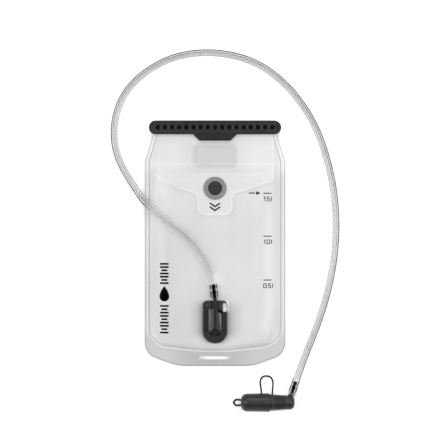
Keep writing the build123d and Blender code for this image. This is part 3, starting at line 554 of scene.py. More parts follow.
def spline_line(places, resolution):
    """Points along the NURBS spline that has these places as its control points."""
    data = bpy.data.curves.new("route", "CURVE")
    data.dimensions = "3D"
    spline = data.splines.new("NURBS")
    spline.points.add(len(places) - 1)
    for point, place in zip(spline.points, places):
        point.co = (*place, 1)
    spline.order_u = 3
    spline.use_endpoint_u = True
    spline.resolution_u = resolution
    line = bpy.data.objects.new("route", data)
    bpy.context.scene.collection.objects.link(line)
    dg = bpy.context.evaluated_depsgraph_get()
    mesh = bpy.data.meshes.new_from_object(line.evaluated_get(dg), depsgraph=dg)
    points = [v.co.copy() for v in mesh.vertices]
    bpy.data.objects.remove(line)
    return points


def swept(name, line, rings, sides):
    """Tube round a line: one radius is solid, two make a hollow tube. A list is a radius for each point."""
    tangents = []
    for i in range(len(line)):
        tangents.append((line[min(i + 1, len(line) - 1)] - line[max(i - 1, 0)]).normalized())
    side = tangents[0].cross(Vector((0, 0, 1))).normalized()
    frames = []
    for t in tangents:
        side = (side - t * side.dot(t)).normalized()
        frames.append((side, t.cross(side).normalized()))
    points, faces = [], []
    for ring in rings:
        for i, (p, (u, v)) in enumerate(zip(line, frames)):
            radius = ring[i] if isinstance(ring, list) else ring
            for k in range(sides):
                a = 2 * math.pi * k / sides
                points.append(p + (u * math.cos(a) + v * math.sin(a)) * radius)
    count = len(line) * sides
    for level in range(len(rings)):
        for i in range(len(line) - 1):
            for k in range(sides):
                a, b = i * sides + k, i * sides + (k + 1) % sides
                quad = [level * count + n for n in (a, b, b + sides, a + sides)]
                faces.append(quad if level == 0 else quad[::-1])
    for end in (0, (len(line) - 1) * sides):
        if len(rings) == 1:
            ring = [end + k for k in range(sides)]
            faces.append(ring[::-1] if end == 0 else ring)
            continue
        for k in range(sides):
            a, b = end + k, end + (k + 1) % sides
            quad = [a, b, count + b, count + a]
            faces.append(quad[::-1] if end == 0 else quad)
    mesh = mesh_from(name, points, faces)
    bm = bmesh.new()
    bm.from_mesh(mesh)
    bmesh.ops.recalc_face_normals(bm, faces=bm.faces)
    bm.to_mesh(mesh)
    bm.free()
    return mesh


def on_barbs(line):
    """The line with even, closer points where its two ends sit on their barbs."""
    start = BARB_FLARES[-1][1]
    tip = line[0] + (line[1] - line[0]).normalized() * start * MM
    first = next(i for i, p in enumerate(line) if (p - line[0]).length > (start + 1) * MM)
    line = [line[0].lerp(tip, t / END_STEPS) for t in range(END_STEPS + 1)] + line[first:]
    end = next(i for i, p in enumerate(line) if (p - line[-1]).length < (start + 2) * MM)
    return line[:end] + [line[end].lerp(line[-1], t / END_STEPS) for t in range(END_STEPS + 1)]


def hose_tones(hose, line, snug):
    """Stores where the hose lies over the film, for its painted light, where it sits on a barb, and how far
    it faces away from its loop's middle, for its painted shade.
    """
    co = coords_mm(hose)
    x, y, z = co.T
    store(hose, "lit", smoothstep((z - 8) / 7) * smoothstep((x + 97) / 10) * (y > -100))
    store(hose, "snug", np.tile(np.repeat(snug, HOSE_SIDES), 2))
    centres = np.tile(np.repeat(np.array([p[:] for p in line]) / MM, HOSE_SIDES, 0), (2, 1))
    out = (co - centres)[:, :2]
    loop = centres[:, :2] - np.array(LOOP_CENTRE)
    radius = np.repeat([HOSE_D / 2, HOSE_BORE / 2], len(co) // 2)
    store(hose, "away", 0.5 + 0.5 * np.sum(out * loop, 1) / np.linalg.norm(loop, axis=1) / radius)


def make_hose():
    """Clear hose with its bore, stretched over the flares of the barbs in both of its ends."""
    line = on_barbs(spline_line(ROUTE, 16))
    along = np.cumsum([0] + [(b - a).length / MM for a, b in zip(line, line[1:])])
    near = np.minimum(along, along[-1] - along)
    snug = sum(smoothstep((near - a) / 1.2) * smoothstep((b - near) / 0.8) for a, b in BARB_FLARES)
    outer = list((HOSE_D / 2 + FLARE * snug) * MM)
    mesh = swept("drink_hose", line, (outer, HOSE_BORE / 2 * MM), HOSE_SIDES)
    hose = add_object(mesh, "clear")
    hose.data.materials.append(MATERIALS["bore"])
    count = len(hose.data.vertices) // 2
    for face in hose.data.polygons:
        face.material_index = int(min(face.vertices) >= count)
    crisp(hose, 50)
    hose_tones(hose, line, snug)
    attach(hose, "drink_line")
    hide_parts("hose")


make_hose()


# ---- Pouch films ----

# Outer edge of the pouch and inner edge of its weld, straight up through the neck
OUTLINE = rounded(
    [(-HALF_W, 130), (HALF_W, 130), (HALF_W, CORNER_Y), (50, LOW_Y), (-50, LOW_Y), (-HALF_W, CORNER_Y)],
    [0, 0, 22, 60, 60, 22],
)
INNER = rounded(
    [
        (-INNER_W, 160),
        (INNER_W, 160),
        (INNER_W, INNER_CORNER_Y),
        (0, INNER_LOW_Y),
        (-INNER_W, INNER_CORNER_Y),
    ],
    [0, 0, 26, 280, 26],
    16,
)

# Soft dents: centre x and y, angle, length, width and depth
DENTS = (
    (-70, 78, 62, 90, 11, 1.1),
    (-58, 60, 118, 60, 9, 0.8),
    (72, 86, 75, 70, 9, 0.9),
    (60, 55, 60, 55, 10, 0.5),
    (-32, -96, 85, 34, 12, 0.9),
    (34, -98, 95, 30, 12, 0.9),
    (-80, -120, 50, 30, 8, 0.8),
    (80, -118, 130, 30, 8, 0.8),
    (70, -30, 80, 60, 12, 0.5),
)


def neck_scale(y):
    """Share of the full half width that the neck keeps at a height."""
    return np.interp(y, [TAPER_Y, LIP_Y], [HALF_W, LIP_HALF_W]) / HALF_W


def lower_edge(outline, x, floor_y):
    """Lower outline's y at each x."""
    half = outline[(outline[:, 0] >= -1e-6) & (outline[:, 1] < floor_y)]
    order = np.argsort(half[:, 0])
    return np.interp(np.abs(x), half[order, 0], half[order, 1])


def wrinkles(x, y):
    """Depth of the film's unevenness and its dents, in millimetres, none under the hard parts."""
    out = np.zeros_like(x)
    for index, _ in np.ndenumerate(x):
        px, py = x[index], y[index]
        out[index] = 0.5 * noise.noise(Vector((px * 0.016, py * 0.012, 3.7)))
        out[index] += 0.22 * noise.noise(Vector((px * 0.05, py * 0.022, 8.1)))
    for cx, cy, angle, length, width, depth in DENTS:
        a = math.radians(angle)
        u = (x - cx) * math.cos(a) + (y - cy) * math.sin(a)
        v = -(x - cx) * math.sin(a) + (y - cy) * math.cos(a)
        out -= depth * np.exp(-((u / length * 2) ** 2) - (v / width * 1.6) ** 2)
    out -= 0.35
    hard = np.minimum.reduce([
        smoothstep((np.hypot(x, np.clip(y, -117, -80) - y) - 17.5) / 9),
        smoothstep((np.hypot(x, y - BUTTON_Y) - BUTTON_R) / 7),
    ])
    return np.minimum(out, 0) * hard


def within(x, y, slack=0.0):
    """Whether points lie inside the pouch's inner weld, and their distance and direction from it."""
    wide = x / neck_scale(y)
    distance, away = distance_to(INNER, wide, np.minimum(y, FOLD_LOW_Y))
    return (np.abs(wide) < INNER_W) & (y > lower_edge(INNER, wide, 0) - slack), distance, away


def crown(x, y, across, along, top):
    """Share of the pouch's thickness: it rises over one reach from its sides and another from its ends."""
    inside, distance, away = within(x, y)
    reach = across * away[..., 0] ** 2 + along * away[..., 1] ** 2
    t = np.where(inside, np.clip(distance / np.maximum(reach, 1), 0, 1), 0)
    side = 1 - (1 - t) ** 2
    return np.clip(1 - np.hypot(1 - side, 1 - top), 0, 1)


def front_top(x, y):
    """Height of the front film's outer face."""
    share = crown(x, y, 25, 9.5, smoothstep((110.5 - y) / 21))
    base = np.interp(y, [FOLD_LOW_Y, FOLD_HIGH_Y], [SEAM_TOP, NECK_TOP])
    return base + (PEAK - base) * share + wrinkles(x, y) * smoothstep(share * 1.3 - 0.2)


def back_bottom(x, y):
    """Height of the back film's outer face."""
    share = crown(x, y, 25, 11, np.interp(FOLD_HIGH_Y - y, [0, 10, 25], [0, 0.6, 1]))
    base = np.interp(y, [FOLD_LOW_Y, FOLD_HIGH_Y], [SEAM_BOTTOM, NECK_BOTTOM])
    return base * (1 - share)


def sheet_grid(top_y):
    """Grid over the pouch whose lines follow its outer edge and its inner weld."""
    inner_x = INNER_W * np.sin(np.linspace(0, math.pi / 2, 44))
    flange_x = INNER_W + FLANGE * np.sin(np.linspace(0, math.pi / 2, 7))[1:]
    half = np.concatenate([inner_x, flange_x])
    u = np.concatenate([-half[::-1], half[1:]])
    outer = lower_edge(OUTLINE, u, -100)
    weld = lower_edge(INNER, np.clip(np.abs(u), 0, INNER_W), 0)
    flange = np.linspace(0, 1, 7)[:-1]
    body = np.concatenate([np.linspace(0, 0.08, 12)[:-1], np.linspace(0.08, 1, 110)])
    rows = [outer + (weld - outer) * s for s in flange]
    rows += [weld + (top_y - weld) * s for s in body]
    y = np.array(rows)
    x = np.broadcast_to(u, y.shape) * neck_scale(y)
    return x, y


def slot_cutter():
    """Hanging slot in the bottom seam."""
    x, r = SLOT_W / 2, SLOT_H / 2
    ends = [(-x, SLOT_Y - r), (x, SLOT_Y - r), (x, SLOT_Y + r), (-x, SLOT_Y + r)]
    return prism("slot", rounded(ends, [r - 0.01] * 4, 8), 0, 20)


def port_cutter():
    """Round hole under the dock, through the front film only."""
    x, low, high = PORT_R, PORT_Y - PORT_R, PORT_Y + PORT_R
    return prism("port", rounded([(x, high), (x, low), (-x, low), (-x, high)], [x - 0.01] * 4, 12), 10, 20)


def soft_box(x, y, x0, x1, y0, y1, soft):
    """1 inside a box, fading to 0 over a soft border."""
    across = smoothstep((np.minimum(x - x0, x1 - x) + soft / 2) / soft)
    return across * smoothstep((np.minimum(y - y0, y1 - y) + soft / 2) / soft)


def patch_half(y):
    """Half width of the patch at each height."""
    low, tongue, wide = PATCH_LOW_Y, TONGUE_HALF_W, PATCH_HALF_W
    corners = [(0, low), (tongue, low), (tongue, TONGUE_TOP_Y), (wide, 84), (wide, 130)]
    right = rounded(corners, [0, TONGUE_R, 8, 6, 0], 14)[1:]
    order = np.argsort(right[:, 1])
    width = np.interp(y, right[order, 1], right[order, 0])
    return np.minimum(width, 88.0 * neck_scale(y))


def patch_slope(y):
    """How fast the patch widens at each height."""
    return np.abs(patch_half(y + 0.5) - patch_half(y - 0.5))


def streak(x, y, points, width):
    """1 along a soft line through points, fading out over its width."""
    best = np.full(x.shape, 1e9)
    for (ax, ay), (bx, by) in zip(points, points[1:]):
        dx, dy = bx - ax, by - ay
        t = np.clip(((x - ax) * dx + (y - ay) * dy) / (dx * dx + dy * dy), 0, 1)
        best = np.minimum(best, np.hypot(x - ax - t * dx, y - ay - t * dy))
    return np.exp(-((best / width) ** 2))


def patch_shadow(x, y):
    """Soft contact shadow just outside the patch."""
    beside = (np.abs(x) - patch_half(y)) / np.hypot(1, patch_slope(y))
    below = np.hypot(PATCH_LOW_Y - y, np.maximum(np.abs(x) - 20, 0))
    away = np.where(y > PATCH_LOW_Y, beside, below)
    return np.exp(-((np.maximum(away, 0) / 4.5) ** 2)) * (away > -0.2) * (y < PATCH_HIGH_Y)


# Soft lines and boxes on the film with painted shade, where it is darker, or painted light below 0, than its
# own tone
STREAKS = (
    # Painted light along the hose near the barb, lifting the shadow they cast on the film
    (-0.26, ((-1, -50), (0, -75)), 9),
    # Painted light and painted shade in soft streaks over the film's creases and sides
    (-0.05, ((-79, 112), (-77, 92), (-71, 72), (-62, 50)), 5),
    (-0.05, ((63, -112), (70, -98), (77, -80)), 7),
    (-0.03, ((76, 10), (74, -70)), 12),
    (0.05, ((-69, 55), (-68, -40)), 9),
    (0.07, ((-70, -60), (-60, -110)), 24),
    (0.03, ((-50, 20), (-70, -20)), 26),
)
BOXES = (
    # Painted light: the film down in the notch beside the plug, made bright as a highlight
    (-1.5, (9.5, 17.5, -92.5, -78.5), 3),
    # Painted light and shade across the slope up to the fold
    (-0.03, (-90, 90, 100, 108), 6),
    (0.02, (-84, 84, 89, 98), 6),
)


def tab_shade(x, y):
    """Painted shade of the rear tab and its strap, seen through the neck."""
    corner = np.hypot(np.maximum(np.abs(x) - 22, 0), np.maximum(np.abs(y - 117.5) - 8.5, 0))
    tab = smoothstep((11 - corner) / 7)
    strap = soft_box(x, y, -22, 22, 133, 150, 5)
    return 0.19 * tab - 0.05 * smoothstep((6 - corner) / 6) + 0.05 * strap * (1 - tab)


def dock_shade(x, y):
    """Painted shade round the dock, where the port's flange lies behind the film."""
    r = np.hypot((x - 1.5) * 0.78, np.clip(y, -112, -90) - y)
    fade = smoothstep((y + 137) / 18) * (1 - 0.85 * smoothstep((y + 88) / 14))
    return 0.32 * smoothstep((31 - r) / 20) * fade


def neck_shade(x, y):
    """Painted light on the sides of the neck, the right one most."""
    neck = smoothstep((138 - y) / 8) * smoothstep((y - 86) / 12)
    sides = 0.05 * neck * smoothstep((np.abs(x) - 34) / 20)
    return -sides - 0.06 * smoothstep((x - 14) / 40) * smoothstep((y - 78) / 20)


def weld_shade(x, y):
    """Painted light along the inside of the weld, where the film slopes down to it, and the darker flange at
    the bottom.
    """
    inside, d, _ = within(x, y, WELD_SLACK)
    low = smoothstep((-112 - y) / 20)
    # Painted light on the bottom slope and on the weld row itself
    bottom_film = -0.26 * smoothstep((11 - d) / 9) - 0.22 * smoothstep(1.2 - d)
    bottom_flange = 0.17 + 0.12 * smoothstep((60 - np.abs(x)) / 40)
    sides = -0.07 * inside * (1 - low) * smoothstep((9 - d) / 8) * (y < FOLD_LOW_Y)
    return low * np.where(inside, bottom_film, bottom_flange) + sides + 0.025 * smoothstep((-x - 87) / 3)


def shade_marks(obj):
    """Faint painted shade and painted light on the frosted film, where it creases, where things lie behind
    it, and round its weld, neck and dock.
    """
    x, y, _ = coords_mm(obj).T
    shade = tab_shade(x, y) + dock_shade(x, y) + neck_shade(x, y) + weld_shade(x, y)
    shade += sum(amount * streak(x, y, points, width) for amount, points, width in STREAKS)
    shade += sum(amount * soft_box(x, y, *box, soft) for amount, box, soft in BOXES)
    store(obj, "shade", shade)


def mark_edges(obj):
    """Distance of each point from the pouch's outer edge, for the weld's lines."""
    x, y, _ = coords_mm(obj).T
    outer, _ = distance_to(OUTLINE, x / neck_scale(y), np.minimum(y, FOLD_LOW_Y))
    inside, inner, _ = within(x, y, WELD_SLACK)
    weld = np.where(inside, FLANGE + inner, np.maximum(FLANGE - inner, 0))
    half = FLANGE / 2
    store(obj, "edge_mm", np.where((outer < half) & ~inside, outer, np.maximum(weld, half * (~inside))))
    shade_marks(obj)


def across_fold(obj):
    """Turns the film from the pouch's body to the neck's over the fold."""
    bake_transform(obj, "pouch", "neck", (0, 0.094, 0), (0, 0.1225, 0))


def make_front_skin():
    """Front film from the bottom seam up to the neck's own front film."""
    x, y = sheet_grid(SPLIT_Y)
    obj = add_object(layer("front_skin", x, y, front_top(x, y), FILM), "film")
    cut(obj, slot_cutter(), port_cutter())
    crisp(obj, 40)
    mark_edges(obj)
    x, y, z = coords_mm(obj).T
    under = np.array([d.value for d in obj.data.attributes["shade"].data])
    store(obj, "shade", under + 0.055 * patch_shadow(x, y) * (z > 6.5))
    across_fold(obj)
    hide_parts("front_film")


def make_back_skin():
    """Back film in one piece up to the lips."""
    x, y = sheet_grid(HIGH_Y)
    obj = add_object(layer("back_skin", x, y, back_bottom(x, y) + FILM, FILM), "back")
    cut(obj, slot_cutter())
    crisp(obj, 40)
    mark_edges(obj)
    across_fold(obj)
    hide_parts("back_film", "back_neck_film")


def opening(x, y):
    """How far the front lip carries each point: all of it mid-width, none at the ends."""
    return smoothstep((LIP_END_X - np.abs(x)) / LIP_BOW) * smoothstep((y - OPEN_LOW_Y) / OPEN_REACH)


def lip_blend(obj, weights):
    """Lets a piece follow the front lip by its own weight at each point."""
    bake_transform(obj, "neck", "front_lip", (0, 0.124, 0), (0, 0.16, 0))
    store(obj, "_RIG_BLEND", weights)


def make_neck_skin():
    """Front film of the neck, which opens with the lip."""
    rows = np.linspace(SPLIT_Y, HIGH_Y, 24)
    flange = FLANGE * np.linspace(0, 1, 5)
    u = np.concatenate([flange[:-1] - HALF_W, np.linspace(-INNER_W, INNER_W, 70), INNER_W + flange[1:]])
    x = u[None, :] * neck_scale(rows)[:, None]
    y = np.broadcast_to(rows[:, None], x.shape)
    obj = add_object(layer("neck_front_skin", x, y, NECK_TOP, FILM), "film")
    crisp(obj, 40)
    mark_edges(obj)
    lip_blend(obj, opening(*coords_mm(obj).T[:2]))
    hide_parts("front_neck_film")


def make_side_seams():
    """Weld between the neck's two films, along both of its sides."""
    rows = np.linspace(109.2, 146.4, 16)
    for side in (-1, 1):
        x = np.stack([side * (HALF_W - 0.1) * neck_scale(rows), side * INNER_W * neck_scale(rows)], 1)
        if side > 0:
            x = x[:, ::-1]
        y = np.stack([rows, rows], 1)
        name = f"neck_side_weld_{'l' if side < 0 else 'r'}"
        obj = add_object(layer(name, x, y, WELD_TOP, WELD_THICK), "film")
        store(obj, "edge_mm", np.full(len(obj.data.vertices), FLANGE / 2))
        store(obj, "shade", np.zeros(len(obj.data.vertices)))
        crisp(obj, 40)
        across_fold(obj)
    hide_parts("neck_side_seams")


make_front_skin()
make_back_skin()
make_neck_skin()
make_side_seams()


# ---- Reinforcement patch ----


def patch_grid(rows, cols):
    """Grid between the patch's two sides, finer towards them."""
    half = patch_half(rows)
    u = np.sin(np.linspace(-math.pi / 2, math.pi / 2, cols))
    u = 0.5 * u + 0.5 * np.linspace(-1, 1, cols)
    x = half[:, None] * u[None, :]
    return x, np.broadcast_to(rows[:, None], x.shape)


def patch_edges(obj):
    """Distance of each point from the patch's edge, for the painted highlight along it, which fades out on
    the upper left.
    """
    x, y, _ = coords_mm(obj).T
    across = (patch_half(y) - np.abs(x)) / np.hypot(1, patch_slope(y))
    highlight_fade = 14 * smoothstep((-x - 44) / 22) * smoothstep((y - 66) / 8)
    store(obj, "edge_mm", np.minimum(across, y - PATCH_LOW_Y) + highlight_fade)
    shade_marks(obj)


def make_patch():
    """Reinforcement on the front film, with its tongue below the button."""
    round_corners = PATCH_LOW_Y + TONGUE_R * (1 - np.cos(np.linspace(0, math.pi / 2, 12)))
    up_tongue = np.linspace(49.5, 58, 6)
    over_shoulders = np.linspace(58.8, PATCH_HIGH_Y, 44)
    to_neck = np.linspace(PATCH_HIGH_Y + 1, SPLIT_Y, 30)
    rows = np.concatenate([round_corners, up_tongue, over_shoulders, to_neck])
    x, y = patch_grid(rows, PATCH_COLUMNS)
    mesh = layer("front_patch_skin", x, y, front_top(x, y) + PATCH_LIFT, PATCH_THICK)
    obj = add_object(mesh, "patch")
    crisp(obj, 50)
    patch_edges(obj)
    across_fold(obj)
    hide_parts("front_patch")


def make_neck_patch():
    """Reinforcement on the neck, cut out round the front pull tab."""
    x, y = patch_grid(np.linspace(SPLIT_Y, 146.6, 20), PATCH_COLUMNS)
    obj = add_object(layer("neck_patch_skin", x, y, NECK_PATCH_TOP, NECK_PATCH_THICK), "patch")
    wide, narrow, high, low = 29.45, 20.75, 147.1, 138.1
    tab = rounded([(-wide, high), (wide, high), (narrow, low), (-narrow, low)], [0, 0, 2.5, 2.5], 6)
    cut(obj, prism("tab", tab, 6, 9))
    crisp(obj, 50)
    patch_edges(obj)
    lip_blend(obj, opening(*coords_mm(obj).T[:2]))
    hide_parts("neck_patch")


make_patch()
make_neck_patch()


# ---- Lips ----


def node_copy(node, name, key, step=None):
    """Copy of a CAD node. With a step in millimetres it is cut into bands along X, so that it can bow."""
    bm = bmesh.new()
    bm.from_mesh(NODES[node].data)
    bmesh.ops.remove_doubles(bm, verts=bm.verts, dist=1e-6)
    for x in np.arange(-87, 88, step) if step else ():
        geom = bm.verts[:] + bm.edges[:] + bm.faces[:]
        bmesh.ops.bisect_plane(bm, geom=geom, plane_co=(x * MM, 0, 0), plane_no=(1, 0, 0), dist=1e-7)
    obj = add_object(free_mesh(bm, name), key)
    crisp(obj, 30)
    return obj


def make_lips():
    """Front strip, its seal and its magnets, which bow when the mouth opens."""
    for node, name, key, slot, step in (
        ("front_strip", "front_lip_strip", "matte", "matte_black", 2.5),
        ("front_seal", "front_lip_seal", "silicone", "soft_seal", 2.5),
        # The front magnets take the near-black that paints the shade in their pockets
        ("front_magnets", "front_lip_magnets", "black_and_shade", "magnet", None),
    ):
        obj = node_copy(node, name, key, step)
        x = coords_mm(obj)[:, 0]
        if node == "front_magnets":
            x = np.round(x / MAGNET_PITCH) * MAGNET_PITCH
        lip_blend(obj, smoothstep((LIP_END_X - np.abs(x)) / LIP_BOW))
        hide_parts(node)


make_lips()


# ---- Rear pull tab ----


def make_rear_tab():
    """Soft strap and recessed panel behind the neck."""
    right = [(30, 101.5), (30, 133.9), (22, 134.9), (22, 146.6)]
    left = [(-x, y) for x, y in right[::-1]]
    outline = rounded(left[-1:] + right + left[:-1], [6, 6, 5, 1, 0, 0, 1, 5], 8)
    obj = add_object(prism("rear_tab_skin", outline, *REAR_TAB_Z), "rear_tab")
    panel = rounded([(-26, 106.5), (26, 106.5), (26, 130.9), (-26, 130.9)], [3] * 4, 6)
    cut(obj, prism("panel", panel, REAR_PANEL_Z, 4))
    bevel = obj.modifiers.new("soft", "BEVEL")
    bevel.width, bevel.segments, bevel.limit_method = 0.25 * MM, 2, "ANGLE"
    settle(obj)
    crisp(obj, 40)
    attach(obj, "neck")
    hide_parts("rear_pull_tab")


make_rear_tab()


# ---- Tether loop and spring ----

VALVE_Y, VALVE_Z, RING_R = -213.9, 12.4, 11.05

# Control points of the loop in its own tilted plane: across, and away from the valve
LOOP = [
    (-6.6, 0.2), (-6.9, 5), (-7.7, 10.4), (-8.3, 16.7), (-5.4, 22.6), (0.5, 24.3),
    (6.4, 22.6), (9.2, 16.7), (9.0, 10.4), (8.4, 4), (8.0, -2.2),
]


def make_tether():
    """Retaining ring, and the thin loop from the cap to it."""
    bm = bmesh.new()
    bm.from_mesh(NODES["tether"].data)
    bmesh.ops.remove_doubles(bm, verts=bm.verts, dist=1e-6)
    far = [v for v in bm.verts if math.hypot(v.co.y - VALVE_Y * MM, v.co.z - VALVE_Z * MM) > RING_R * MM]
    bmesh.ops.delete(bm, geom=far, context="VERTS")
    loose = [v for v in bm.verts if not v.link_faces]
    bmesh.ops.delete(bm, geom=loose, context="VERTS")
    bmesh.ops.holes_fill(bm, edges=bm.edges, sides=0)
    bmesh.ops.recalc_face_normals(bm, faces=bm.faces)
    obj = add_object(free_mesh(bm, "tether_ring"), "rubber")
    crisp(obj, 30)
    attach(obj, "bite_valve")
    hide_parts("tether")

    tilt = math.radians(24)
    origin = Vector((69, VALVE_Y + 12.9, VALVE_Z))
    up = Vector((0, math.cos(tilt), -math.sin(tilt)))
    line = spline_line([(origin + Vector((x, 0, 0)) + up * along) * MM for x, along in LOOP], 10)
    loop = add_object(swept("tether_loop", line, (1.15 * MM,), 14), "dull")
    crisp(loop, 50)
    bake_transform(loop, "bite_valve", "cap", (0.075, 0, 0), (0.063, 0, 0))


def make_spring():
    """Poppet spring, pressed together as the poppet moves."""
    obj = node_copy("poppet_spring", "poppet_spring_coil", "spring")
    lo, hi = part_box("poppet_spring")
    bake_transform(obj, "pouch", "poppet", (0, 0, lo.z), (0, 0, hi.z))
    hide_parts("poppet_spring")


make_tether()
make_spring()


# ---- Printed marks ----


def draped(name, outlines, lift, fine=2.0):
    """Thin closed ink shapes that follow the front film, from outlines of (x, y)."""
    bm = bmesh.new()
    for outline in outlines:
        ring = [bm.verts.new((x, y, 0)) for x, y in outline]
        bm.faces.new(ring)
    bmesh.ops.triangulate(bm, faces=bm.faces)
    lo = np.min([v.co[:] for v in bm.verts], 0)
    hi = np.max([v.co[:] for v in bm.verts], 0)
    for axis in (0, 1):
        normal = Vector((1, 0, 0)) if axis == 0 else Vector((0, 1, 0))
        for at in np.arange(lo[axis] + fine, hi[axis], fine):
            geom = bm.verts[:] + bm.edges[:] + bm.faces[:]
            bmesh.ops.bisect_plane(bm, geom=geom, plane_co=normal * at, plane_no=normal, dist=1e-4)
    bm.verts.ensure_lookup_table()
    co = np.array([v.co[:] for v in bm.verts])
    z = front_top(co[:, 0], co[:, 1]) + lift
    for v, height in zip(bm.verts, z):
        v.co = Vector((v.co.x, v.co.y, height)) * MM
    bmesh.ops.recalc_face_normals(bm, faces=bm.faces)
    faces = bm.faces[:]
    if sum(f.normal.z for f in faces) < 0:
        bmesh.ops.reverse_faces(bm, faces=faces)
    grown = bmesh.ops.extrude_face_region(bm, geom=faces)
    for v in grown["geom"]:
        if isinstance(v, bmesh.types.BMVert):
            v.co.z += INK * MM
    bmesh.ops.recalc_face_normals(bm, faces=bm.faces)
    obj = add_object(free_mesh(bm, name), "black_print")
    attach(obj, "pouch")


def stroke(points, width):
    """Outline of a mitred line of one width."""
    p = [Vector((*q, 0)) for q in points]
    left, right = [], []
    for i, q in enumerate(p):
        before = (q - p[i - 1]).normalized() if i else (p[1] - q).normalized()
        after = (p[i + 1] - q).normalized() if i + 1 < len(p) else before
        tangent = (before + after).normalized()
        normal = Vector((-tangent.y, tangent.x, 0))
        reach = width / 2 / max(normal.dot(Vector((-before.y, before.x, 0))), 0.3)
        left.append((q + normal * reach)[:2])
        right.append((q - normal * reach)[:2])
    return left + right[::-1]


# Strokes of each mark and its advance, as shares of the numerals' height
SEGMENTS = {
    "0": [[(0, 0), (0, 1), (0.62, 1), (0.62, 0), (0, 0)]],
    "1": [[(0.05, 0.78), (0.32, 1), (0.32, 0)]],
    "5": [[(0.62, 1), (0.05, 1), (0.02, 0.56), (0.42, 0.6), (0.62, 0.42), (0.62, 0.16), (0.45, 0), (0, 0)]],
    ".": [[(0.05, 0), (0.05, 0.13)]],
    "l": [[(0.05, 1.05), (0.05, 0)]],
}
ADVANCE = {"0": 0.86, "1": 0.58, "5": 0.84, ".": 0.26, "l": 0.25, " ": 0.2}


def numerals(text, x, y, height, width):
    """Outlines of plain numerals from a left end and a base line. A closed stroke is a box."""
    out = []
    for mark in text:
        for line in SEGMENTS.get(mark, []):
            points = [(x + px * height, y + py * height) for px, py in line]
            if points[0] == points[-1]:
                (x0, y0), (x1, y1) = points[0], points[2]
                out += [stroke([(side, y0), (side, y1)], width) for side in (x0, x1)]
                left, right = x0 + width / 2, x1 - width / 2
                out += [stroke([(left, end), (right, end)], width) for end in (y1, y0)]
            else:
                out.append(stroke(points, width))
        x += ADVANCE[mark] * height
    return out


def make_prints():
    """Three volume marks with numerals, a fill mark, two chevrons and a generic emblem."""
    for n, (y, text) in enumerate(((67.3, "1.5 l"), (9.7, "1.0 l"), (-49.2, "0.5 l"))):
        draped(f"scale_tick_{n}", [stroke([(MARK_X, y), (MARK_X + 10.9, y)], 1.25)], FILM_LIFT)
        draped(f"scale_numeral_{n}", numerals(text, MARK_X + 0.3, y - 10.4, 5.5, 1.0), FILM_LIFT, fine=3.0)
    arrow = [[(55.2, 70.0), (61.2, 67.5), (55.2, 65.0)], stroke([(45.6, 67.5), (53.6, 67.5)], 1.5)]
    draped("fill_mark", arrow, FILM_LIFT)
    chevrons = [stroke([(-6.9, y + 4.9), (0, y), (6.9, y + 4.9)], 1.95) for y in (49.3, 44.2)]
    draped("fold_chevrons", chevrons, CHEVRON_LIFT)
    bars = []
    for first, pitch, halves in ((-27.5, 4.3, UPPER_BARS), (-84.0, 4.45, LOWER_BARS)):
        for k, half in enumerate(halves):
            y = first - k * pitch
            bars.append(stroke([(EMBLEM_X - half, y), (EMBLEM_X + half, y)], 2.4))
    draped("emblem_bars", bars, EMBLEM_LIFT, fine=3.0)
    drop = []
    for t in np.linspace(0, 2 * math.pi, 48, endpoint=False):
        drop.append((EMBLEM_X + 8.6 * math.sin(t) * math.sin(t / 2) ** 1.1, -67.5 + 10.4 * math.cos(t)))
    draped("emblem_drop", [drop], EMBLEM_LIFT, fine=3.0)


make_prints()


# ---- CAD nodes that stay ----

FINISH = {
    "matte": ["rear_strip"],
    "rim": ["slot_rim"],
    "gloss": ["dock_rim", "plug_skirt", "port_flange", "button_disc"],
    "dull": ["front_tab", "dock_plate"],
    "black_and_shade": ["plug_barb", "elbow_barb"],
    "rubber": ["shutoff_sleeve", "mouthpiece", "cap", "cap_loop", "elbow"],
    "grey": ["button_cup", "valve_core", "poppet"],
    "silicone": ["rear_seal", "plug_oring", "elbow_oring"],
    "magnet": ["rear_magnets", "button_magnet", "dock_magnet", "plug_magnet", "tab_magnet"],
}


def make_grip():
    """Plug body with a dull thumb scoop and collar, and painted shade on its wedge, between its glossy
    flanks.
    """
    mesh = NODES["plug_body"].data.copy()
    mesh.name = "plug_grip"
    obj = add_object(mesh, "gloss")
    for key in ("dull", "black_and_shade"):
        obj.data.materials.append(MATERIALS[key])
    for face in obj.data.polygons:
        x, y, z = (c / MM for c in face.center)
        scoop = math.hypot(x, y - PORT_Y) < 6.9 and face.normal.z > 0.6 and z < 28.2
        wedge = (x - 1.7) * 0.688 + (y + 88) * 0.725 > 0 and face.normal.z > 0.9 and y < -88
        collar = y > -87.1
        # The wedge takes the near-black of painted shade
        face.material_index = 2 if wedge else int(scoop or collar)
    crisp(obj, 30)
    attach(obj, "drink_line")
    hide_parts("plug_body")


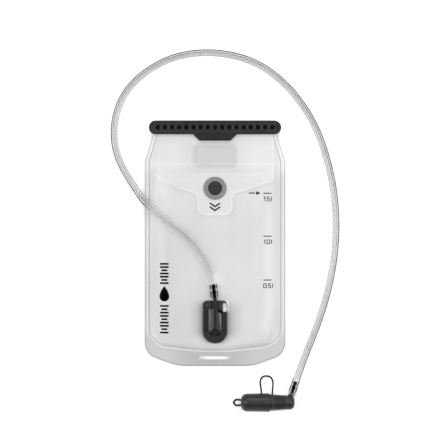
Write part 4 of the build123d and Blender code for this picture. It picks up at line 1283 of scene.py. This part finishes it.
make_grip()
for key, names in FINISH.items():
    for node in names:
        recoat(node, key)


# ---- Floor, light ----


def make_floor():
    """Plain pale floor just under the bladder."""
    bm = bmesh.new()
    bmesh.ops.create_grid(bm, x_segments=1, y_segments=1, size=3.0)
    mesh = free_mesh(bm, "floor")
    t = Tree("floor_white")
    v = t.span(t.noise(40.0), 0.3, 0.7, 0.90, 0.92)
    shader = t.node("BsdfDiffuse", Color=t.even(v))
    floor = bpy.data.objects.new("floor", mesh)
    floor.location.z = -0.0004
    mesh.materials.append(t.finish(shader.outputs[0]))
    bpy.context.scene.collection.objects.link(floor)


def area(name, place, size, power):
    """Soft lamp that points at the middle of the scene."""
    data = bpy.data.lights.new(name, "AREA")
    data.shape = "RECTANGLE"
    data.size, data.size_y = size
    data.energy = power
    lamp = bpy.data.objects.new(name, data)
    lamp.location = place
    lamp.rotation_mode = "QUATERNION"
    lamp.rotation_quaternion = (-Vector(place)).to_track_quat("-Z", "Y")
    bpy.context.scene.collection.objects.link(lamp)


def make_light():
    """Pale sky that is brightest low down, and three soft lamps."""
    world = bpy.data.worlds.new("studio")
    world.use_nodes = True
    nt = world.node_tree
    back = nt.nodes["Background"]
    place = nt.nodes.new("ShaderNodeTexCoord")
    split = nt.nodes.new("ShaderNodeSeparateXYZ")
    ramp = nt.nodes.new("ShaderNodeMapRange")
    nt.links.new(place.outputs["Generated"], split.inputs[0])
    nt.links.new(split.outputs[2], ramp.inputs["Value"])
    for key, value in (("From Min", 0.35), ("From Max", 0.97), ("To Min", 1.0), ("To Max", 0.12)):
        ramp.inputs[key].default_value = value
    nt.links.new(ramp.outputs[0], back.inputs[1])
    back.inputs[0].default_value = (1, 1, 1, 1)
    bpy.context.scene.world = world
    area("soft_left", (-0.95, 0.05, 1.5), (0.5, 1.5), 20)
    area("soft_right", (0.95, -0.05, 1.5), (0.5, 1.5), 20)
    area("soft_top", (0.0, 1.3, 1.5), (1.6, 0.6), 16)
    bpy.context.scene.view_settings.view_transform = "Standard"


make_floor()
make_light()
